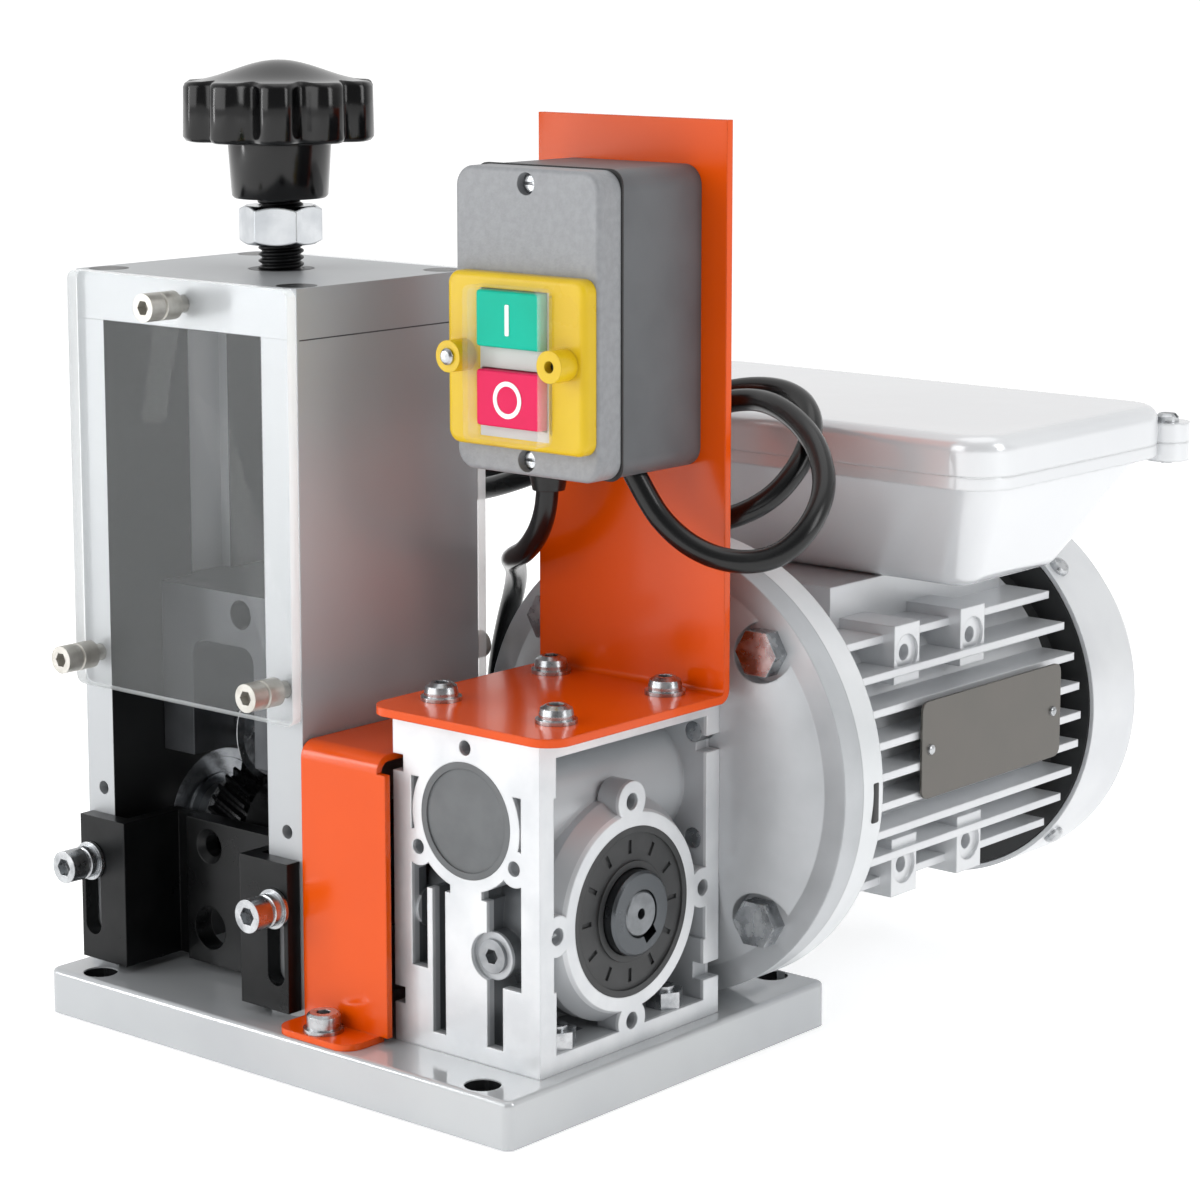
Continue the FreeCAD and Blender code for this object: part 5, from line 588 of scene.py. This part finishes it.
# Fan cover screws: four small steel screws that clamp the cover to the rear shield's rim.
# Each stands square to the round cover and has a low domed head.
cover_low, cover_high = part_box("fan_cover")
cover_x, cover_z = (cover_low.x + cover_high.x) / 2, (cover_low.z + cover_high.z) / 2
cover_radius, cover_screw_y = (cover_high.x - cover_low.x) / 2, cover_low.y + 0.006
domed_head = [(-0.0004, 0.0034), (0.0009, 0.0034), (0.0019, 0.0027), (0.0024, 0.0014), (0.0025, 0)]
heads = bmesh.new()
for quarter in range(4):
    bearing = math.radians(45 + 90 * quarter)
    out = Vector((math.cos(bearing), 0, math.sin(bearing)))
    foot = Vector((cover_x, cover_screw_y, cover_z)) + out * cover_radius
    turned(heads, domed_head, foot, out, 24)
finish_piece("fan_cover_screws", heads, stainless, "machine_frame")

# Stator: laminated iron sheets, pressed into the frame.
# The cut edges of the sheets are dull and brownish.
core_iron = surface(
    "laminated_iron", light="6A6764", dark="4E4B48", smooth=0.5, dull=0.7, patch=10, grain=0.5,
    depth=0.03, Metallic=0.6
)
dress(core_iron, "stator")

# Terminal box: a pressed steel tub and lid, screwed on the motor, with a gloss silver powder
# coat. The run capacitor inside is a can of plain white plastic.
box_silver = surface(
    "box_gloss_silver", light="DCDEE0", dark="D5D7DA", smooth=0.16, dull=0.22, patch=80,
    grain=1.5, depth=0.01, edge=1.2, Metallic=0.25, Coat_Weight=0.5
)
dress(box_silver, "terminal_box", "terminal_lid")
white_plastic = surface(
    "capacitor_plastic", light="DAD9D4", dark="CFCEC9", smooth=0.4, dull=0.5, patch=20,
    grain=0.8, depth=0.01
)
dress(white_plastic, "capacitor")

# Switch bracket and coupling guard: steel sheet, cut, bent cold and screwed on.
# The orange powder coat is glossy, with a faint ripple from the oven.
orange = surface(
    "orange_powder_coat", light="DC5000", dark="D44A00", smooth=0.16, dull=0.24, patch=80,
    grain=1.2, depth=0.008, edge=0.8, Coat_Weight=0.1, Specular_IOR_Level=0.25
)
dress(orange, "switch_bracket", "coupling_guard")

# Switch box: moulded dark grey ABS with a lighter cover, screwed on from the front.
# The box is satin; the cover's mould was etched, which gives it a coarse stipple.
box_plastic = surface(
    "switch_box_plastic", light="585B5E", dark="505356", smooth=0.42, dull=0.52, patch=20,
    grain=0.8, depth=0.02
)
dress(box_plastic, "switch_box", "switch_block")
cover_plastic = surface(
    "stippled_cover_plastic", light="8B8D90", dark="828487", smooth=0.4, dull=0.5, patch=2,
    grain=0.8, depth=0.12
)
dress(cover_plastic, "switch_cover")

# Switch frame: a yellow moulded ABS frame with two lug posts, and a pale grey floor inside
# the film's outline. One lug holds a domed steel screw, the other a sunk black one.
yellow = surface(
    "yellow_frame_plastic", light="D2B21E", dark="CBA918", smooth=0.26, dull=0.34, patch=20,
    grain=1, depth=0.01, Specular_IOR_Level=0.3
)
film_low, film_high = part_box("button_film")
film_wall, before_film, behind_film = Vector((0.0012, 0, 0.0012)), 0.01, 0.03
recolour(
    yellow, Vector((film_low.x, film_low.y - before_film, film_low.z)) + film_wall,
    Vector((film_high.x, film_high.y + behind_film, film_high.z)) - film_wall, "B9BBB8"
)
dress(yellow, "switch_frame")
frame_low, frame_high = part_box("switch_frame")
lug_level = (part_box("red_button")[1].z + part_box("green_button")[0].z) / 2
frame_middle, lug_out, lug_bore_depth = (frame_low.x + frame_high.x) / 2, 0.019, 0.0032
lug_head = bmesh.new()
turned(lug_head, [
    (-0.0005, 0.0024), (0.0006, 0.0024), (0.0013, 0.0017), (0.0016, 0)
], (frame_middle - lug_out, frame_low.y, lug_level), (0, -1, 0), 24)
finish_piece("frame_screw_head", lug_head, stainless, "machine_frame")
sunk_head = bmesh.new()
turned(sunk_head, [
    (0, 0), (0, 0.00168), (0.0006, 0.0016), (0.0009, 0.0009), (0.0006, 0)
], (frame_middle + lug_out, frame_low.y + lug_bore_depth, lug_level), (0, -1, 0), 24)
finish_piece("frame_screw_sunk", sunk_head, black_oxide, "machine_frame")

# Buttons: two moulded caps, green and red, under a clear film that is clipped in the frame.
# The caps are satin. The soft PVC film is so thin that only its side walls show.
green = surface(
    "green_button_plastic", light="00AE94", dark="00A68B", smooth=0.4, dull=0.48, patch=20,
    grain=1, depth=0.01, Specular_IOR_Level=0.15
)
dress(green, "green_button")
red = surface(
    "red_button_plastic", light="D42055", dark="CC1C4E", smooth=0.4, dull=0.48, patch=20,
    grain=1, depth=0.01, Specular_IOR_Level=0.15
)
dress(red, "red_button")
film = clear("soft_clear_film", "F4F6F6", body=0, rim=0.16, gloss=0.06)
dress(film, "button_film")

# Switch gasket: a thin black rubber frame, squeezed between the box and its cover.
# It stands out a little all round and shows as a dark line.
gasket_rubber = surface(
    "gasket_rubber", light="1A1B1C", dark="121314", smooth=0.5, dull=0.6, patch=10, grain=0.6,
    depth=0.01
)
lid_low, lid_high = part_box("switch_cover")
gasket_proud, gasket_thick, gasket_corner = 0.0004, 0.0007, 0.0045
gasket_middle = (lid_low + lid_high) / 2
gasket_middle.y = lid_high.y - gasket_thick / 2
gasket_size = lid_high - lid_low + 2 * Vector((gasket_proud, 0, gasket_proud))
gasket_size.y = gasket_thick
gasket = block(gasket_middle, gasket_size, [1], gasket_corner, segments=6)
finish_piece("switch_gasket", gasket, gasket_rubber, "machine_frame")

# Button marks: a white stroke and a white ring, printed thick on the button fronts.
mark_white = surface(
    "white_print", light="F5F5F3", dark="EEEEEC", smooth=0.4, dull=0.5, patch=10, grain=0.5,
    depth=0.005
)
mark_lift, stroke_width, stroke_height, stroke_corner = 0.0002, 0.0015, 0.0088, 0.0004
ring_inner, ring_outer = 0.0039, 0.0053
green_low, green_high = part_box("green_button")
stroke_middle = (green_low + green_high) / 2
stroke_middle.y = green_low.y - mark_lift / 2
stroke = block(
    stroke_middle, Vector((stroke_width, mark_lift, stroke_height)), [1], stroke_corner,
    segments=3
)
finish_piece("on_mark", stroke, mark_white, "green_switch")
red_low, red_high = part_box("red_button")
ring = bmesh.new()
turned(ring, [
    (0, ring_inner), (-mark_lift, ring_inner), (-mark_lift, ring_outer), (0, ring_outer),
    (0, ring_inner)
], ((red_low.x + red_high.x) / 2, red_low.y, (red_low.z + red_high.z) / 2), (0, 1, 0), 48)
finish_piece("off_mark", ring, mark_white, "red_switch")

# Nameplate: a thin anodised aluminium plate, held on the fins by two drive rivets.
# The anodising is a dark warm grey, satin from the brushing under it.
plate_grey = surface(
    "anodised_plate", light="66635F", dark="62605C", smooth=0.3, dull=0.36, patch=20, grain=0.3,
    depth=0.01, edge=0.3, Metallic=0.7
)
fin_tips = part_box("motor_frame")[1].x
plate_front, plate_rear, plate_low, plate_high = 0.0825, 0.1585, 0.0735, 0.1035
plate_thick, plate_corner, rivet_inset = 0.0008, 0.003, 0.0045
name_plate = block(
    Vector((
        fin_tips + plate_thick / 2, (plate_front + plate_rear) / 2, (plate_low + plate_high) / 2
    )),
    Vector((plate_thick, plate_rear - plate_front, plate_high - plate_low)), [0], plate_corner,
    segments=4
)
finish_piece("name_plate", name_plate, plate_grey, "machine_frame")
rivets = bmesh.new()
for y in (plate_front + rivet_inset, plate_rear - rivet_inset):
    turned(rivets, [
        (0, 0.0016), (0.0006, 0.0015), (0.0010, 0.0009), (0.0011, 0)
    ], (fin_tips + plate_thick, y, (plate_low + plate_high) / 2), (1, 0, 0), 20)
finish_piece("name_plate_rivets", rivets, stainless, "machine_frame")

# Cords: black PVC sheath over copper wires, 6.8 mm thick, smooth and softly shining.
# One goes from the switch box round to the terminal box, one is the mains lead.
pvc = surface(
    "black_pvc", light="0C0D0E", dark="08090A", smooth=0.2, dull=0.28, patch=30, grain=1.2,
    depth=0.01, Specular_IOR_Level=0.4
)
dress(pvc, "cable_glands")
cord_radius = 0.0034


def cord_piece(name, route, finish):
    """A round cord on one smooth curve through a route given in millimetres."""
    line = bpy.data.curves.new(name, "CURVE")
    line.dimensions = "3D"
    line.bevel_depth = cord_radius
    line.bevel_resolution = 5
    line.resolution_u = 8
    line.use_fill_caps = True
    spline = line.splines.new("NURBS")
    spline.points.add(len(route) - 1)
    for point, (x, y, z) in zip(spline.points, route):
        point.co = (x / 1000, y / 1000, z / 1000, 1)
    spline.order_u = 3
    spline.use_endpoint_u = True
    line.materials.append(finish)
    made = bpy.data.objects.new(name, line)
    bpy.context.scene.collection.objects.link(made)
    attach(made, "machine_frame")
    return made


lead_route = [
    (76.5, -2.5, 187), (82.5, -1, 176), (89.3, 1, 165.3), (99.5, 4.6, 157.6), (110.8, 9.7, 154.8),
    (120.8, 15.6, 157.2), (125.3, 24, 165.5), (122.8, 34, 175), (114, 42.5, 183.8),
    (102.5, 48.8, 190), (90, 53.8, 193.6), (78.5, 57.9, 194.2), (67.2, 56.9, 192.5), (58, 52, 187),
    (54.2, 45, 178.4), (57.2, 37.6, 169.4), (66.2, 32.1, 162.6), (78.3, 29.8, 160.3),
    (91, 31.8, 162.8), (100.8, 37.5, 169), (104.4, 45.3, 177.6), (102.6, 54.5, 186),
    (95, 62.5, 192.6), (83.5, 68, 196), (68.5, 69, 196), (53, 65.5, 192), (36.5, 59.5, 184.5),
    (21.5, 54.5, 176.5), (7, 51, 168.5), (-8, 49.3, 162), (-25, 50.3, 156.7), (-39.5, 54, 154),
    (-52.5, 58.3, 153.2), (-64, 64.8, 153), (-70.8, 76, 153), (-71, 89.5, 153), (-64.5, 101, 153),
    (-53.5, 107.5, 153), (-40.5, 108.3, 153), (-26.5, 108, 153), (-12.5, 108, 153),
]
lead = cord_piece("switch_lead", lead_route, pvc)
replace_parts(lead, "motor_lead")
mains_route = [
    (46.5, 0.7, 186), (46.5, 0.7, 171), (43.5, 1.4, 159.5), (35, 4.2, 150.5), (23.5, 10.5, 146),
    (13, 21.5, 142.5), (4, 34, 137.5), (-5, 43.5, 129), (-12.5, 47.5, 116), (-18, 49.5, 100.5),
    (-21.5, 52, 82.5), (-22.5, 55.5, 64), (-21.3, 61.5, 46.5), (-17.5, 72, 31.5),
    (-12.5, 84, 19.5), (-8.5, 97, 10.8), (-5.3, 109.5, 5.3), (-3.5, 123, 3.5),
]
# The coil: half turns that shrink, climb once and grow again, in two flat layers. Each has
# six route points, half a step in from its ends and a little outside its circle.
floor_layer, upper_layer, climb = 3.5, 10.8, 5
stations = [-3.5, -92.5, -10.8, -85.2, -18.1, -77.9, -25.4, -85.2, -18.1, -92.5, -10.8]
coil_y, tail_start, tail_y = 136, 18, 190
half_step = math.radians(15)
for number, (start, end) in enumerate(zip(stations, stations[1:])):
    middle, reach = (start + end) / 2, abs(end - start) / 2 / math.cos(half_step)
    way = 1 if start > end else -1
    for step in range(6):
        angle = half_step + 2 * half_step * step
        if number < climb:
            height = floor_layer
        elif number > climb:
            height = upper_layer
        else:
            lift = math.cos(angle) / math.cos(half_step)
            height = (floor_layer + upper_layer) / 2 - (upper_layer - floor_layer) / 2 * lift
        mains_route.append((
            middle + way * reach * math.cos(angle), coil_y + way * reach * math.sin(angle), height
        ))
mains_route.append((stations[-1], coil_y + tail_start, upper_layer))
mains_route.append((stations[-1], tail_y, upper_layer))
mains = cord_piece("mains_lead", mains_route, pvc)
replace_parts(mains, "mains_cord", "mains_coil")

# Plug: a rubber body, moulded over the lead's end, with nickelled brass blades and pin.
# The rubber is dull black; the blades are a pale, bright yellow.
plug_skin = surface(
    "moulded_plug", light="1D1E1F", dark="151617", smooth=0.35, dull=0.45, patch=20, grain=1,
    depth=0.02
)
plug_low, plug_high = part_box("plug")
blades_start, past_blades = 0.2305, Vector((0, 0.001, 0.001))
blades_low = Vector((plug_low.x, blades_start, plug_low.z))
recolour(plug_skin, blades_low, plug_high + past_blades, "D8CDB0", metallic=1)
dress(plug_skin, "plug")

# Coil tie: a black nylon cable tie that holds the turns of the mains lead together.
# It is one flat band, drawn tight round the bundle on the side away from the machine.
tie_low, tie_high = Vector((-0.0978, 0.1335, 0.0012)), Vector((-0.0735, 0.1385, 0.0151))
tie_corner, tie_thick = 0.22, 0.0009
tie = bmesh.new()
bmesh.ops.create_grid(tie, x_segments=1, y_segments=1, size=0.5)
bmesh.ops.bevel(
    tie, geom=tie.verts[:], offset=tie_corner, segments=5, profile=0.5, affect="VERTICES",
    material=-1
)
grown = bmesh.ops.extrude_edge_only(tie, edges=tie.edges[:])["geom"]
bmesh.ops.delete(tie, geom=tie.faces[:1], context="FACES_ONLY")
moved = [g for g in grown if isinstance(g, bmesh.types.BMVert)]
bmesh.ops.translate(tie, verts=moved, vec=(0, 0, 1))
upright = Matrix.Rotation(math.radians(-90), 3, "X")
bmesh.ops.rotate(tie, cent=(0, 0, 0), matrix=upright, verts=tie.verts)
bmesh.ops.scale(tie, vec=tie_high - tie_low, verts=tie.verts)
bmesh.ops.translate(tie, verts=tie.verts, vec=(
    (tie_low.x + tie_high.x) / 2, tie_low.y, (tie_low.z + tie_high.z) / 2
))
bmesh.ops.solidify(tie, geom=tie.faces[:], thickness=tie_thick)
tie_piece = finish_piece("coil_tie", tie, plug_skin, "machine_frame")

# Floor, lights and camera: a wide pale floor in a white studio with four soft boxes.
# The camera stands at the photograph's viewing angle.
ground = bmesh.new()
bmesh.ops.create_grid(ground, x_segments=1, y_segments=1, size=60)
floor_mesh = bpy.data.meshes.new("floor")
ground.to_mesh(floor_mesh)
ground.free()
floor_white = surface(
    "floor_white", light="F7F7F7", dark="F5F5F5", smooth=0.6, dull=0.65, patch=2000, grain=500,
    depth=0.01, Emission_Color=(1, 1, 1, 1), Emission_Strength=0.42, Specular_IOR_Level=0
)
floor_mesh.materials.append(floor_white)
floor = bpy.data.objects.new("floor", floor_mesh)
floor.location.z = -0.0005
bpy.context.scene.collection.objects.link(floor)

# The studio is darker in front on the right than behind on the left, which gives the metal
# its shades. Seen straight, its walls are plain white.
world = bpy.data.worlds.new("studio")
bpy.context.scene.world = world
world.use_nodes = True
sky = world.node_tree.nodes["Background"]
sky.inputs["Color"].default_value = (1, 1, 1, 1)
bright_side = (-0.55, 0.65, 0.5)
backdrop = add(
    world, "VectorMath", {1: bright_side}, {0: add(world, "TexCoord").outputs["Generated"]},
    operation="DOT_PRODUCT"
)
glow = add(
    world, "MapRange", {"From Min": -0.4, "From Max": 0.4, "To Min": 0.25, "To Max": 0.9},
    {"Value": backdrop.outputs["Value"]}
)
seen = add(world, "LightPath").outputs["Is Camera Ray"]
bright = add(world, "Math", links={0: glow.outputs["Result"], 1: seen}, operation="MAXIMUM")
world.node_tree.links.new(bright.outputs[0], sky.inputs["Strength"])
bpy.context.scene.view_settings.view_transform = "Standard"


def softbox(name, place, aim, width, height, power):
    """A rectangular studio light that faces a point."""
    lamp = bpy.data.lights.new(name, "AREA")
    lamp.shape = "RECTANGLE"
    lamp.size, lamp.size_y, lamp.energy = width, height, power
    made = bpy.data.objects.new(name, lamp)
    made.location = place
    made.rotation_euler = (Vector(aim) - Vector(place)).to_track_quat("-Z", "Y").to_euler()
    bpy.context.scene.collection.objects.link(made)


aim = (0.03, 0.05, 0.12)
softbox("key_light", (-0.45, -1.6, 0.75), aim, width=1.5, height=1.1, power=12.5)
softbox("side_light", (1.5, 0.2, 0.8), aim, width=0.5, height=1, power=7)
softbox("top_light", (0.1, 0.2, 1.6), aim, width=1.2, height=1.2, power=4)
softbox("strip_light", (-0.9, -0.9, 0.35), aim, width=0.12, height=0.9, power=4)

photo_width, photo_height = 1200, 1195
focal_pixels, axis_row, film_width = 3351.28, 480, 36
camera_data = bpy.data.cameras.new("camera")
camera_data.sensor_width = film_width
camera_data.lens = film_width * focal_pixels / photo_width
camera_data.shift_y = -(photo_height / 2 - axis_row) / photo_width
camera_data.clip_end = 200
camera = bpy.data.objects.new("camera", camera_data)
camera.location = (0.68597, -0.72749, 0.32956)
turn, down = math.radians(40.4), math.radians(9.16)
sight = Vector((
    -math.sin(turn) * math.cos(down), math.cos(turn) * math.cos(down), -math.sin(down)
))
camera.rotation_euler = sight.to_track_quat("-Z", "Y").to_euler()
bpy.context.scene.collection.objects.link(camera)
bpy.context.scene.camera = camera
